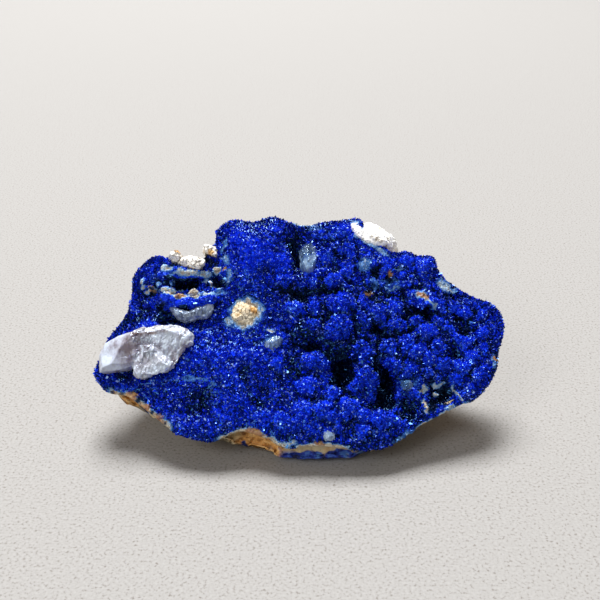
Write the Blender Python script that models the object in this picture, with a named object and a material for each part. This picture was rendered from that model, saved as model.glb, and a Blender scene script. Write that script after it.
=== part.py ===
"""Azurite specimen: a blue crystal crust on pale, stained rock, with clear and milky crystals on it.

The specimen lies on a flat facet of its underside, its crystal face slanting up to the back.
X runs along its length, Y to the back, Z up.  The face is described over a slanted plane:
u along the length, v up the slope, w straight out of the plane.  The tables below are in
millimetres and degrees; everything is turned into metres when a solid is made.
"""
import math

import bmesh
import bpy
import numpy as np
from mathutils import Matrix, Vector

# ---------------------------------------------------------------- driving dimensions
MM = 0.001                      # one millimetre, in metres
FACE_TILT = math.radians(32.0)  # slope of the crystal face
FACE_HEIGHT = 15.5              # height of the face plane's centre above the surface
GAP = 0.3                       # clearance between neighbouring pieces
CRUST_MIN = 0.8                 # least thickness of the crust
CRUST_REACH = 2.0               # the rock keeps below the lowest crust this far around
RIM_DROOP = 3.0                 # power with which the face bends down to its rim
HALF_LENGTH, HALF_WIDTH = 35.0, 22.0
CELLS_U, CELLS_V = 50, 32       # cells of the crust's outer sheet; the rock has half as many
STRIP_MIN = 0.8                 # least height of the rock wall under the rim
CROWDING = 0.16                 # how much closer the cells lie towards the knobbly right-hand end
WALL_ROWS = 4                   # rows of cells down the rock wall
WALL_LEDGE = 0.045              # how deep the wall is broken back, as a share of the radius
ROUGH_SEED = 11

# Upper edge of the crust, once round from the right-hand end: u, v, w.
RIM = [
    (35.6, 2.8, -1.6), (35.6, 6.2, -1.4), (33.8, 8.4, -1.0), (30.9, 9.5, -0.8),
    (27.4, 11.7, -0.3), (25.1, 14.1, 0.0), (24.2, 17.4, 0.3), (21.3, 17.6, 0.3),
    (19.8, 18.5, 0.3), (16.6, 18.6, 0.2), (14.5, 20.4, 0.2), (12.2, 22.9, 0.2),
    (11.2, 25.8, 0.3), (7.1, 25.5, 0.3), (3.9, 25.1, 0.2), (1.1, 24.6, 0.0),
    (-2.2, 25.3, 0.2), (-5.2, 26.3, 0.5), (-8.6, 25.0, 0.6), (-12.1, 25.5, 0.6),
    (-13.8, 25.0, 0.4), (-15.4, 23.3, 0.2), (-15.6, 20.7, 0.0), (-16.9, 18.2, -0.4),
    (-18.4, 17.2, -0.8), (-20.4, 17.0, -1.0), (-22.6, 17.0, -0.9), (-24.6, 17.9, -0.8),
    (-26.5, 18.5, -1.0), (-28.4, 17.6, -1.6), (-30.0, 15.8, -2.2), (-30.6, 14.0, -2.6),
    (-30.5, 10.7, -3.0), (-31.3, 6.5, -3.0), (-33.6, 2.6, -3.0), (-34.4, -0.5, -2.8),
    (-35.2, -4.6, -2.6), (-33.7, -7.0, -2.4), (-31.8, -8.6, -2.2), (-29.1, -9.2, -2.0),
    (-25.3, -12.1, -1.8), (-21.4, -15.2, -1.6), (-18.5, -16.4, -1.5), (-15.8, -17.1, -1.5),
    (-13.0, -17.0, -1.4), (-11.1, -16.2, -1.2), (-9.0, -15.9, -1.2), (-5.2, -17.2, -1.2),
    (-2.9, -18.4, -1.2), (3.2, -18.4, -1.2), (7.3, -18.6, -1.3), (13.6, -18.3, -1.5),
    (19.2, -15.0, -1.5), (25.5, -11.6, -1.6), (29.1, -9.7, -1.8), (31.3, -7.7, -1.8),
    (33.4, -4.5, -1.8), (34.4, -0.4, -1.8),
]

# Broad swells and hollows of the face: u, v, reach along, reach across, turn, height.
WAVES = [
    (-8.4, 17.5, 5.5, 6.5, 0, 2.2), (-12.0, -3.0, 8.0, 5.0, 0, 0.7),
    (0.0, -14.6, 9.0, 2.6, 0, 0.8), (9.0, 3.5, 5.0, 4.0, 0, 1.0),
    (20.0, -1.0, 7.0, 4.0, -35, 1.0), (22.5, 15.0, 3.5, 2.5, 0, 0.9),
    (9.0, 21.5, 5.0, 3.5, 0, 0.8), (-26.4, 4.4, 1.6, 1.2, 0, 0.8),
    (-0.6, 18.5, 1.8, 4.5, 0, -1.8), (0.4, 9.8, 2.4, 1.5, 0, -2.0),
    (5.0, 9.6, 3.2, 1.0, 0, -1.7), (2.4, -1.0, 2.2, 1.1, -20, -2.2),
    (-1.4, -0.6, 1.3, 1.0, 0, -0.8), (7.2, -5.6, 1.9, 2.9, 0, -3.8),
    (14.4, -7.3, 1.5, 2.7, 10, -3.6), (14.2, -10.8, 1.8, 1.6, 0, -2.0),
    (18.0, -11.8, 2.2, 1.6, 0, -2.2), (12.5, 2.0, 0.9, 0.9, 0, -1.5),
    (14.4, 0.6, 1.2, 0.7, -30, -1.0), (18.8, 8.8, 2.8, 0.8, -12, -2.1),
    (14.8, 9.2, 2.4, 0.9, 0, -1.9), (21.9, 5.4, 2.0, 1.0, 0, -1.8),
    (27.6, 4.6, 0.8, 0.8, 0, -0.8), (28.4, 2.1, 0.8, 0.9, 0, -0.9),
    (26.4, -2.2, 0.9, 1.2, 0, -0.9), (12.4, 10.4, 1.2, 0.9, 0, -1.8),
    (13.6, 14.3, 0.9, 0.8, 0, -1.5), (16.3, 12.2, 0.8, 0.7, 0, -1.3),
    (23.0, -9.2, 2.2, 1.6, -30, -1.9), (22.2, -11.0, 0.9, 0.7, 0, -0.7),
    (24.6, -8.2, 0.9, 0.8, 0, -1.0), (-9.2, -6.2, 0.9, 2.2, 15, -0.7),
    (-7.0, -11.2, 1.8, 0.8, -25, -0.6), (-17.0, -11.8, 2.4, 2.2, -30, -1.1),
    (-23.4, 4.8, 2.6, 1.0, -10, -1.4), (-28.4, 9.4, 1.6, 3.6, 8, -1.6),
    (-29.6, -5.6, 1.6, 1.2, 0, -0.8), (-20.2, 12.3, 2.8, 1.2, 0, -3.0),
    (-14.8, 12.6, 1.5, 1.5, 0, -2.2), (-26.2, 11.9, 1.3, 1.4, -30, -1.6),
]

# Rounded knobs of the crust, each a cluster of small crystals: u, v, radius, height.
KNOBS = [
    (8.0, 22.6, 2.8, 1.0), (3.0, 23.0, 2.0, 0.7), (-4.4, 24.0, 2.0, 0.6), (-12.0, 22.0, 2.4, 0.5),
    (4.6, 17.6, 1.7, 0.6), (8.6, 18.2, 1.8, 0.7), (12.4, 16.6, 1.6, 0.6), (15.6, 16.2, 1.6, 0.7),
    (19.0, 16.4, 1.8, 0.9), (22.6, 15.0, 2.3, 0.9), (6.3, 12.0, 2.0, 1.2), (3.0, 11.8, 1.3, 0.7),
    (8.8, 14.4, 1.6, 0.7), (-2.6, 12.0, 1.6, 0.7), (7.5, 7.0, 2.8, 1.6), (2.5, 6.2, 1.4, 0.9),
    (-0.6, 6.6, 1.7, 0.8), (6.3, 2.3, 2.6, 1.4), (2.0, 3.0, 1.7, 0.9), (11.4, 7.0, 1.6, 0.9),
    (13.5, 5.1, 2.1, 1.2), (16.6, 6.0, 2.0, 1.1), (17.0, 2.8, 1.9, 1.1), (11.0, 3.6, 1.7, 1.0),
    (10.2, -1.6, 1.5, 1.2), (11.2, -3.1, 1.5, 1.4), (12.2, -4.4, 1.3, 1.2), (15.0, -1.4, 1.7, 0.9),
    (18.3, -1.4, 1.7, 1.1), (20.0, -2.4, 1.7, 1.1), (21.7, -3.4, 1.6, 1.0), (15.8, -4.6, 1.8, 0.8),
    (18.8, -5.2, 1.6, 0.8), (22.0, 1.6, 2.1, 1.1), (19.6, 3.8, 1.5, 0.9), (23.6, -1.2, 1.4, 0.8),
    (24.3, -4.4, 1.6, 0.9), (21.4, -5.8, 1.4, 0.8), (24.6, 4.0, 1.5, 0.9), (25.9, 2.6, 1.5, 0.9),
    (27.2, 1.2, 1.5, 0.9), (28.4, -0.2, 1.4, 0.8), (24.8, 7.4, 1.5, 0.8), (27.4, 7.2, 1.5, 0.8),
    (28.9, 5.7, 1.5, 0.8), (30.3, 4.2, 1.5, 0.8), (31.6, 2.6, 1.4, 0.7), (32.4, 6.0, 1.5, 0.6),
    (30.9, -1.0, 1.6, 0.7), (29.4, -2.8, 1.6, 0.8), (27.5, -4.6, 1.7, 0.8), (30.5, -5.2, 1.7, 0.7),
    (26.4, -6.8, 1.5, 0.7), (11.5, -6.9, 2.2, 2.2), (9.3, -8.0, 1.6, 1.3), (13.5, -14.4, 1.8, 1.1),
    (10.6, -13.4, 1.7, 0.8), (8.0, -12.2, 2.0, 1.0), (4.0, -12.6, 1.9, 0.8), (5.0, -9.8, 1.7, 0.9),
    (1.4, -8.6, 1.9, 0.8), (1.0, -4.4, 1.8, 1.0), (3.6, -3.6, 1.6, 0.9), (-3.4, -4.6, 1.6, 0.5),
    (0.6, -12.6, 1.8, 0.6), (10.6, -16.2, 1.6, 0.6), (-27.6, 15.6, 1.8, 0.6), (-18.2, 12.2, 1.3, 0.9),
]

# Broken ledges at the upper left: centre u, half length, front v, back v, bow, height.
LEDGES = [
    (-19.8, 5.2, 6.6, 9.2, 0.05, 1.8),
    (-21.8, 3.6, 13.1, 15.2, 0.02, 1.3),
    (21.6, 2.6, 6.9, 9.6, 0.08, 0.9),
]
LEDGE_EDGE = 0.35               # width over which a ledge breaks off

# Bare rock that stands through the crust: u, v, w, half length, half width, half depth, turn, how
# far its root runs down the back of the rock, and the seed of its corners.
BOSSES = {
    "face_boss": (-9.6, 5.6, -1.0, 2.9, 3.2, 2.2, 20, 0, 3),
    "shoulder_boss": (14.6, 21.7, -1.8, 6.0, 3.3, 3.1, -43, 11, 5),
    "notch_block": (-19.3, 16.2, -0.8, 3.4, 2.1, 2.1, -6, 4, 7),
    "notch_wedge": (-16.2, 18.9, -1.0, 2.5, 1.6, 2.4, -58, 9, 9),
    "notch_chip": (-22.7, 17.2, -1.1, 1.6, 1.2, 1.9, 25, 5, 12),
}
BOSS_POINTS = 26                # corners scattered over each boss
ROOT_TAPER = 0.85               # width of a root's foot beside the boss
ROOT_SLANT = 0.35               # how far a root leans back into the rock for each millimetre down

# Angular lumps grown on the crust: the edges of the broken ledges and a lip at the right.
LUMPS = {
    "ledge_left": (-23.1, 8.4, 0.3, 2.3, 1.2, 1.3, -24, 0, 21),
    "ledge_middle": (-19.8, 7.5, 0.4, 2.5, 1.2, 1.3, 0, 0, 22),
    "ledge_right": (-16.6, 8.2, 0.4, 2.3, 1.2, 1.2, 24, 0, 23),
    "shelf_left": (-23.4, 13.8, -0.5, 2.0, 1.0, 1.0, -20, 0, 24),
    "shelf_right": (-19.7, 13.3, -0.6, 2.6, 0.9, 1.0, 3, 0, 25),
    "right_lip": (21.8, 8.3, 0.2, 2.6, 1.1, 1.1, -34, 0, 26),
}

# Facets of the underside: direction the facet faces in plan, distance at which it leaves the
# surface, and its rise per millimetre.
UNDER_FACETS = [
    (270, 12.0, 0.39), (320, 14.3, 0.62), (20, 17.2, 0.78), (50, 18.5, 0.85),
    (90, 12.5, 0.90), (128, 18.5, 0.66), (180, 16.0, 0.45), (228, 10.6, 0.42),
]

# Crystals, each a low roof over an outline.  Middle: the point u, v that its rings close in on.
# Edge and foot: height of the upper and lower edge at the middle, and its rise for each
# millimetre along u.  Outline: its corners, anticlockwise.  Ridges: u, v, w of both ends.
CRYSTALS = {
    "large_crystal": {
        "middle": (-26.4, -1.7), "edge": (0.2, 0.06), "foot": (-1.7, 0.09),
        "outline": [(-33.8, -5.7), (-30.2, -5.2), (-28.2, -4.6), (-28.0, -6.1), (-27.4, -7.0),
                    (-26.2, -7.0), (-24.3, -6.3), (-22.6, -6.0), (-21.4, -4.9), (-20.5, -3.6),
                    (-19.6, -1.5), (-18.2, -0.7), (-18.2, 0.9), (-19.0, 2.0), (-20.7, 2.8),
                    (-24.0, 3.0), (-27.3, 2.7), (-29.9, 1.7), (-32.0, 0.8), (-33.8, -0.6),
                    (-34.3, -2.6)],
        "ridges": [(-28.6, -0.2, 2.3, -30.0, -1.7, 2.2), (-30.0, -1.7, 2.2, -31.5, -4.8, 1.6),
                   (-28.1, 0.3, 2.3, -23.2, 1.1, 2.5), (-23.2, 1.1, 2.5, -19.3, 0.2, 1.8),
                   (-26.4, -1.7, 1.9, -26.6, -6.0, 1.2), (-25.6, -1.9, 1.9, -23.1, -4.8, 1.3)],
    },
    "ledge_crystal": {
        "middle": (-19.2, 5.1), "edge": (0.1, 0.03), "foot": (-1.5, 0.10),
        "outline": [(-18.9, 4.1), (-17.7, 4.6), (-16.3, 4.7), (-15.5, 5.4), (-15.1, 6.3),
                    (-15.2, 7.4), (-15.9, 7.7), (-16.8, 7.4), (-18.2, 6.6), (-19.7, 5.9),
                    (-21.5, 6.6), (-23.3, 7.2), (-22.8, 6.2), (-22.0, 5.4), (-21.1, 4.5),
                    (-20.0, 4.0)],
        "ridges": [(-22.4, 6.4, 0.6, -20.0, 4.9, 1.0), (-20.0, 4.9, 1.0, -17.8, 5.6, 1.2),
                   (-17.8, 5.6, 1.2, -15.9, 6.9, 0.9)],
    },
    "blade_crystal": {
        "middle": (1.4, 17.3), "edge": (-0.1, 0.30), "foot": (-1.15, 0.10),
        "outline": [(1.2, 13.4), (2.4, 14.1), (2.9, 15.9), (3.1, 17.4), (2.9, 19.4), (2.2, 20.6),
                    (1.4, 20.4), (0.4, 20.1), (-0.1, 19.0), (-0.1, 17.0), (0.0, 15.1)],
        "ridges": [(1.2, 19.3, 1.2, 1.5, 15.0, 1.4)],
    },
    "centre_crystal": {
        "middle": (-4.5, -0.4), "edge": (0.45, 0.0), "foot": (-0.5, 0.0),
        "outline": [(-4.8, -1.8), (-3.6, -1.4), (-2.9, -0.6), (-2.9, 0.2), (-3.5, 0.9),
                    (-4.5, 1.0), (-5.5, 0.2), (-6.4, -0.8), (-5.9, -1.4)],
        "ridges": [(-5.2, -0.7, 1.0, -3.7, 0.0, 1.2)],
    },
    "front_crystal": {
        "middle": (4.7, -17.0), "edge": (-0.4, -0.10), "foot": (-1.6, 0.0),
        "outline": [(4.1, -17.9), (5.1, -17.8), (5.8, -17.3), (5.6, -16.7), (5.0, -16.1),
                    (4.3, -15.9), (3.7, -16.5), (3.7, -17.3)],
        "ridges": [(4.4, -16.6, 0.5, 4.9, -17.4, 0.3)],
    },
    "right_crystal": {
        "middle": (17.9, -8.1), "edge": (-0.25, 0.0), "foot": (-1.5, 0.0),
        "outline": [(17.3, -9.0), (18.1, -9.2), (18.7, -8.8), (18.9, -7.9), (18.5, -7.2),
                    (17.7, -7.1), (16.9, -7.4), (17.0, -8.4)],
        "ridges": [(17.5, -8.3, 0.6, 18.3, -7.9, 0.8)],
    },
}
ROOF_SLOPE = 0.42               # fall of a crystal's top for each millimetre from its ridges
BROW_SLOPE = 1.6                # steepest rise of a crystal's top from its edge
TOP_RINGS = (1.0, 0.76, 0.5, 0.25)   # shares of the outline at which a crystal's top has its rings
FOOT_SHARE = 0.86               # size of a crystal's foot beside its outline
SOCKET_TOP, SOCKET_BOTTOM = 6.0, -7.0   # ends of the shafts cut for the crystals
SOCKET_GROWTH = 1.1             # sockets and openings are larger by this many gaps


# ---------------------------------------------------------------- the shape of the face
def rim_table():
    """Return angle, radius and height along a smooth closed curve through the rim points."""
    points = np.array(RIM)
    before, after = np.roll(points, 1, axis=0), np.roll(points, -1, axis=0)
    beyond = np.roll(points, -2, axis=0)
    rows = []
    for t in np.linspace(0.0, 1.0, 8, endpoint=False):
        rows.append(0.5 * (2.0 * points + (after - before) * t
                           + (2.0 * before - 5.0 * points + 4.0 * after - beyond) * t ** 2
                           + (3.0 * points - before - 3.0 * after + beyond) * t ** 3))
    curve = np.concatenate(rows)
    angle = np.arctan2(curve[:, 1], curve[:, 0]) % (2.0 * np.pi)
    order = np.argsort(angle)
    return angle[order], np.hypot(curve[:, 0], curve[:, 1])[order], curve[:, 2][order]


RIM_ANGLE, RIM_RADIUS, RIM_LEVEL = rim_table()


def rim_radius(angle):
    """Distance from the middle of the face to its rim in a direction."""
    return np.interp(angle % (2.0 * np.pi), RIM_ANGLE, RIM_RADIUS, period=2.0 * np.pi)


def rim_level(angle):
    """Height of the rim in a direction."""
    return np.interp(angle % (2.0 * np.pi), RIM_ANGLE, RIM_LEVEL, period=2.0 * np.pi)


def smooth_step(edge, x):
    """Rise from 0 to 1 as x goes from minus to plus the edge width."""
    t = np.clip(0.5 + 0.5 * x / edge, 0.0, 1.0)
    return t * t * (3.0 - 2.0 * t)


def face_height(u, v):
    """Height of the crust over the slanted plane: droop to the rim, waves, ledges and knobs."""
    angle = np.arctan2(v, u)
    share = np.minimum(np.hypot(u, v) / rim_radius(angle), 1.0)
    height = rim_level(angle) * share ** RIM_DROOP
    inward = 1.0 - share ** 8
    for cu, cv, along, across, turn, rise in WAVES:
        c, s = math.cos(math.radians(turn)), math.sin(math.radians(turn))
        x, y = (u - cu) * c + (v - cv) * s, (v - cv) * c - (u - cu) * s
        height = height + rise * inward * np.exp(-(x / along) ** 2 - (y / across) ** 2)
    for cu, half, front, back, bow, rise in LEDGES:
        line = front + bow * (u - cu) ** 2
        across = smooth_step(LEDGE_EDGE, v - line) * smooth_step(3 * LEDGE_EDGE, back - v)
        along = smooth_step(3 * LEDGE_EDGE, half - np.abs(u - cu))
        height = height + rise * along * across
    knobs = np.zeros_like(height)
    for cu, cv, radius, rise in KNOBS:
        reach = 1.0 - ((u - cu) ** 2 + (v - cv) ** 2) / radius ** 2
        knobs = np.maximum(knobs, rise * np.maximum(reach, 0.0) ** 0.8)
    return height + knobs * inward


def rock_height(u, v):
    """Height of the rock under the crust: below the lowest crust within reach."""
    lowest = face_height(u, v)
    for turn in np.arange(8) * np.pi / 4.0:
        for reach in (0.5 * CRUST_REACH, CRUST_REACH):
            lowest = np.minimum(lowest, face_height(u + reach * np.cos(turn),
                                                    v + reach * np.sin(turn)))
    return lowest - CRUST_MIN - GAP


def under_height(x, y):
    """Height of the underside: the resting facet at zero, the other facets rising outwards."""
    height = np.zeros_like(x)
    for turn, distance, slope in UNDER_FACETS:
        c, s = math.cos(math.radians(turn)), math.sin(math.radians(turn))
        height = np.maximum(height, slope * (x * c + y * s - distance))
    return height


def to_room(u, v, w):
    """Turn face coordinates into x, y, z millimetres."""
    c, s = math.cos(FACE_TILT), math.sin(FACE_TILT)
    return np.stack([u, v * c - w * s, FACE_HEIGHT + v * s + w * c], axis=-1)


# ---------------------------------------------------------------- sheets of vertices
def disc_grid(cells_u, cells_v):
    """Return share of the radius and direction for a grid whose rings follow the rim."""
    along = np.linspace(-1, 1, cells_u + 1)
    along = along + CROWDING * (1.0 - along ** 2)
    a, b = np.meshgrid(along, np.linspace(-1, 1, cells_v + 1))
    wide = np.abs(a) > np.abs(b)
    major, minor = np.where(wide, a, b), np.where(wide, b, a)
    ratio = minor / np.where(major == 0, 1.0, major)
    turn = np.where(wide, ratio, 2.0 - ratio) * np.pi / 4.0 + np.where(major < 0, np.pi, 0.0)
    angle = np.arctan2(HALF_WIDTH * np.sin(turn), HALF_LENGTH * np.cos(turn))
    return np.abs(major), angle


def ring_of(cells_u, cells_v):
    """Indices of a grid's outermost vertices, once round anticlockwise."""
    index = np.arange((cells_u + 1) * (cells_v + 1)).reshape(cells_v + 1, cells_u + 1)
    return np.concatenate([index[0, :-1], index[:-1, -1], index[-1, :0:-1], index[:0:-1, 0]])


def grid_faces(cells_u, cells_v, first, upward):
    """Triangles of a grid of vertices starting at an index, split along alternating diagonals."""
    row = cells_u + 1
    faces = []
    for j in range(cells_v):
        for i in range(cells_u):
            a = first + j * row + i
            b, c, d = a + 1, a + row + 1, a + row
            split = [(a, b, c), (a, c, d)] if (i + j) % 2 else [(a, b, d), (b, c, d)]
            faces += split if upward else [face[::-1] for face in split]
    return faces


def band_faces(upper, lower):
    """Triangles between two rings with the same number of vertices, facing outwards."""
    faces = []
    for k in range(len(upper)):
        n = (k + 1) % len(upper)
        faces += [(upper[k], lower[k], upper[n]), (upper[n], lower[k], lower[n])]
    return faces


def stitch_faces(fine, coarse):
    """Triangles between a ring and one below it with half as many vertices, facing outwards."""
    faces = []
    for k in range(len(coarse)):
        n = (k + 1) % len(coarse)
        start, middle, end = fine[2 * k], fine[2 * k + 1], fine[(2 * k + 2) % len(fine)]
        faces += [(start, coarse[k], middle), (middle, coarse[k], coarse[n]),
                  (middle, coarse[n], end)]
    return faces


# ---------------------------------------------------------------- solids
def make_object(name, points_mm, faces):
    """Make an object from points in millimetres and their faces."""
    mesh = bpy.data.meshes.new(name)
    mesh.from_pydata([tuple(p) for p in np.asarray(points_mm) * MM], [], faces)
    mesh.validate()
    obj = bpy.data.objects.new(name, mesh)
    bpy.context.scene.collection.objects.link(obj)
    return obj


def make_crust():
    """The azurite crust: knobbly outside, smooth inside where it sits on the rock."""
    share, angle = disc_grid(CELLS_U, CELLS_V)
    radius = share * rim_radius(angle)
    u, v = radius * np.cos(angle), radius * np.sin(angle)
    outside = to_room(u, v, face_height(u, v)).reshape(-1, 3)
    u, v = u[::2, ::2], v[::2, ::2]
    inside = to_room(u, v, rock_height(u, v) + GAP).reshape(-1, 3)
    faces = grid_faces(CELLS_U, CELLS_V, 0, True)
    faces += grid_faces(CELLS_U // 2, CELLS_V // 2, len(outside), False)
    faces += stitch_faces(ring_of(CELLS_U, CELLS_V),
                          ring_of(CELLS_U // 2, CELLS_V // 2) + len(outside))
    return make_object("azurite_crust", np.concatenate([outside, inside]), faces)


def broken_faces(count, rng):
    """Values from 0 to 1 round a ring, straight between every few, so that a wall breaks in facets."""
    corners = np.arange(0, count + 1, 4)
    values = rng.random(len(corners))
    values[-1] = values[0]
    return np.interp(np.arange(count), corners, values)


def make_rock():
    """The rock: a sheet under the crust, broken walls round the rim and a faceted underside."""
    cells_u, cells_v = CELLS_U // 2, CELLS_V // 2
    share, angle = disc_grid(cells_u, cells_v)
    radius = share * rim_radius(angle)
    u, v = radius * np.cos(angle), radius * np.sin(angle)
    top = to_room(u, v, rock_height(u, v)).reshape(-1, 3)
    ring = ring_of(cells_u, cells_v)
    rim = top[ring]
    rng = np.random.default_rng(ROUGH_SEED)
    foot_scale = 0.955 - 0.04 * broken_faces(len(ring), rng)
    foot = rim[:, :2] * foot_scale[:, None]
    foot_z = np.minimum(under_height(foot[:, 0], foot[:, 1]), rim[:, 2] - STRIP_MIN)
    points, faces = [top], grid_faces(cells_u, cells_v, 0, True)
    previous, count = ring, len(top)
    for row in range(1, WALL_ROWS):
        drop = row / WALL_ROWS
        ledge = np.roll(broken_faces(len(ring), rng), 2 * (row % 2))
        inset = 1.0 - (1.0 - foot_scale) * drop - WALL_LEDGE * ledge
        height = rim[:, 2] + (foot_z - rim[:, 2]) * drop
        points.append(np.column_stack([rim[:, :2] * inset[:, None], height]))
        faces += band_faces(previous, count + np.arange(len(ring)))
        previous, count = count + np.arange(len(ring)), count + len(ring)
    reach = np.interp(angle % (2 * np.pi), *sorted_ring(angle.reshape(-1)[ring], foot_scale),
                      period=2 * np.pi)
    edge = to_room(rim_radius(angle) * np.cos(angle), rim_radius(angle) * np.sin(angle),
                   rock_height(rim_radius(angle) * np.cos(angle), rim_radius(angle) * np.sin(angle)))
    x, y = share * reach * edge[..., 0], share * reach * edge[..., 1]
    bottom = np.column_stack([x.reshape(-1), y.reshape(-1), under_height(x, y).reshape(-1)])
    bottom[ring, 2] = foot_z
    points.append(bottom)
    faces += band_faces(previous, ring + count)
    faces += grid_faces(cells_u, cells_v, count, False)
    return make_object("matrix", np.concatenate(points), faces)


def sorted_ring(angle, value):
    """Angles of a ring and a value along it, in rising order of angle."""
    order = np.argsort(angle % (2 * np.pi))
    return (angle % (2 * np.pi))[order], value[order]


def hull_object(name, corners):
    """Make the convex solid round a set of corners given in millimetres."""
    bm = bmesh.new()
    for corner in corners:
        bm.verts.new(corner * MM)
    result = bmesh.ops.convex_hull(bm, input=bm.verts)
    loose = [v for v in result["geom_interior"] if isinstance(v, bmesh.types.BMVert)]
    bmesh.ops.delete(bm, geom=loose, context="VERTS")
    bmesh.ops.recalc_face_normals(bm, faces=bm.faces)
    mesh = bpy.data.meshes.new(name)
    bm.to_mesh(mesh)
    bm.free()
    obj = bpy.data.objects.new(name, mesh)
    bpy.context.scene.collection.objects.link(obj)
    return obj


def place(corners, centre, turn):
    """Turn corners about w and put them on the face."""
    spin = Matrix.Rotation(math.radians(turn), 3, "Z")
    turned = [Vector(centre) + spin @ Vector(corner) for corner in corners]
    return [Vector(to_room(*point)) for point in turned]


def scattered_corners(count, size, seed):
    """Corners scattered over a rounded block of the given half sizes."""
    rng = np.random.default_rng(seed)
    rays = rng.normal(size=(count, 3))
    rays /= np.linalg.norm(rays, axis=1)[:, None]
    rays *= 1.0 + 0.12 * rng.random((count, 1))
    return rays * np.array(size)


def boss(name, block, grow=0.0):
    """One angular lump with its root, or the opening it needs in the crust when it is grown."""
    u, v, w, length, width, depth, turn, root, seed = block
    size = (length + grow, width + grow, depth + grow)
    rays = scattered_corners(BOSS_POINTS, size, seed)
    corners = place(rays.tolist(), (u, v, w), turn)
    if root:
        foot = place((rays * ROOT_TAPER).tolist(), (u, v, w), turn)
        inward = Vector((-u, -v, 0.0)).normalized() * ROOT_SLANT
        corners += [corner + root * (inward - Vector((0.0, 0.0, 1.0))) for corner in foot]
    return hull_object(name, corners)


def roof_height(u, v, ridges):
    """Height of a crystal's top: the highest of the slopes that fall away from its ridges."""
    height = np.full(u.shape, SOCKET_BOTTOM)
    for u0, v0, w0, u1, v1, w1 in ridges:
        run_u, run_v = u1 - u0, v1 - v0
        along = ((u - u0) * run_u + (v - v0) * run_v) / (run_u ** 2 + run_v ** 2)
        along = np.clip(along, 0.0, 1.0)
        away = np.hypot(u - u0 - along * run_u, v - v0 - along * run_v)
        height = np.maximum(height, w0 + along * (w1 - w0) - ROOF_SLOPE * away)
    return height


def ringed_solid(name, rings, lower, upper):
    """Close a stack of rings, from the bottom one to the top one, with a point at either end."""
    count = len(rings[0])
    points = np.concatenate([*rings, [lower], [upper]])
    first, last = count * len(rings), count * len(rings) + 1
    faces = []
    for k in range(len(rings) - 1):
        faces += band_faces(np.arange(count) + (k + 1) * count, np.arange(count) + k * count)
    top = count * (len(rings) - 1)
    for k in range(count):
        n = (k + 1) % count
        faces += [(first, n, k), (last, top + k, top + n)]
    return make_object(name, points, faces)


def crystal(name, block):
    """One crystal: its foot, its edge, and rings drawn in to its middle and lifted by its ridges."""
    mu, mv = block["middle"]
    across = np.array(block["outline"]) - (mu, mv)
    edge = block["edge"][0] + block["edge"][1] * across[:, 0]
    u, v = (mu + FOOT_SHARE * across[:, 0]), (mv + FOOT_SHARE * across[:, 1])
    rings = [to_room(u, v, block["foot"][0] + block["foot"][1] * (u - mu))]
    for share in TOP_RINGS:
        u, v = mu + share * across[:, 0], mv + share * across[:, 1]
        brow = BROW_SLOPE * (1.0 - share) * np.hypot(across[:, 0], across[:, 1])
        lift = np.clip(roof_height(u, v, block["ridges"]) - edge, 0.0, brow)
        rings.append(to_room(u, v, edge + lift))
    peak = roof_height(np.array(mu), np.array(mv), block["ridges"])
    return ringed_solid(name, rings, to_room(mu, mv, block["foot"][0]), to_room(mu, mv, peak))


def socket(name, block, grow):
    """The shaft a crystal needs in the crust: its outline moved outwards by a clearance."""
    corners = np.array(block["outline"])
    run = np.roll(corners, -1, axis=0) - corners
    run /= np.hypot(run[:, 0], run[:, 1])[:, None]
    after = np.column_stack([run[:, 1], -run[:, 0]])
    before = np.roll(after, 1, axis=0)
    share = 1.0 + np.maximum((after * before).sum(axis=1), -0.5)
    moved = corners + grow * (after + before) / share[:, None]
    rings = [to_room(moved[:, 0], moved[:, 1], np.full(len(moved), level))
             for level in (SOCKET_BOTTOM, SOCKET_TOP)]
    mu, mv = block["middle"]
    return ringed_solid(name, rings, to_room(mu, mv, SOCKET_BOTTOM), to_room(mu, mv, SOCKET_TOP))


def combine(target, operand, operation):
    """Join a hidden solid to a target or cut it away."""
    operand.hide_render = True
    operand.display_type = "WIRE"
    modifier = target.modifiers.new(operand.name, "BOOLEAN")
    modifier.operation = operation
    modifier.solver = "EXACT"
    modifier.object = operand


def give_material(obj, colour, roughness, transmission=0.0):
    """Give an object a Principled material of its own."""
    material = bpy.data.materials.new(obj.name + "_material")
    material.use_nodes = True
    shader = material.node_tree.nodes["Principled BSDF"]
    shader.inputs["Base Color"].default_value = (*colour, 1.0)
    shader.inputs["Roughness"].default_value = roughness
    shader.inputs["Transmission Weight"].default_value = transmission
    obj.data.materials.append(material)


def centre_on_base():
    """Move every solid so that the middle of the base of the whole is the origin."""
    bpy.context.view_layer.update()
    graph = bpy.context.evaluated_depsgraph_get()
    points = []
    for obj in bpy.context.scene.objects:
        if not obj.hide_render:
            points += [tuple(v.co) for v in obj.evaluated_get(graph).data.vertices]
    points = np.array(points)
    low, high = points.min(axis=0), points.max(axis=0)
    shift = Matrix.Translation((-(low[0] + high[0]) / 2, -(low[1] + high[1]) / 2, -low[2]))
    for obj in bpy.context.scene.objects:
        obj.data.transform(shift)


def main():
    for obj in list(bpy.data.objects):
        bpy.data.objects.remove(obj, do_unlink=True)
    rock, crust = make_rock(), make_crust()
    grow = GAP * SOCKET_GROWTH
    give_material(rock, (0.66, 0.55, 0.36), 0.85)
    give_material(crust, (0.02, 0.04, 0.55), 0.45)
    for name, block in LUMPS.items():
        combine(crust, boss(name, block), "UNION")
    for name, block in BOSSES.items():
        combine(rock, boss(name, block), "UNION")
        combine(crust, boss(name + "_opening", block, grow * SOCKET_GROWTH), "DIFFERENCE")
    for name, block in CRYSTALS.items():
        give_material(crystal(name, block), (0.76, 0.78, 0.82), 0.25, 0.6)
        combine(crust, socket(name + "_socket", block, grow), "DIFFERENCE")
    centre_on_base()


main()
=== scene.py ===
import math

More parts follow.
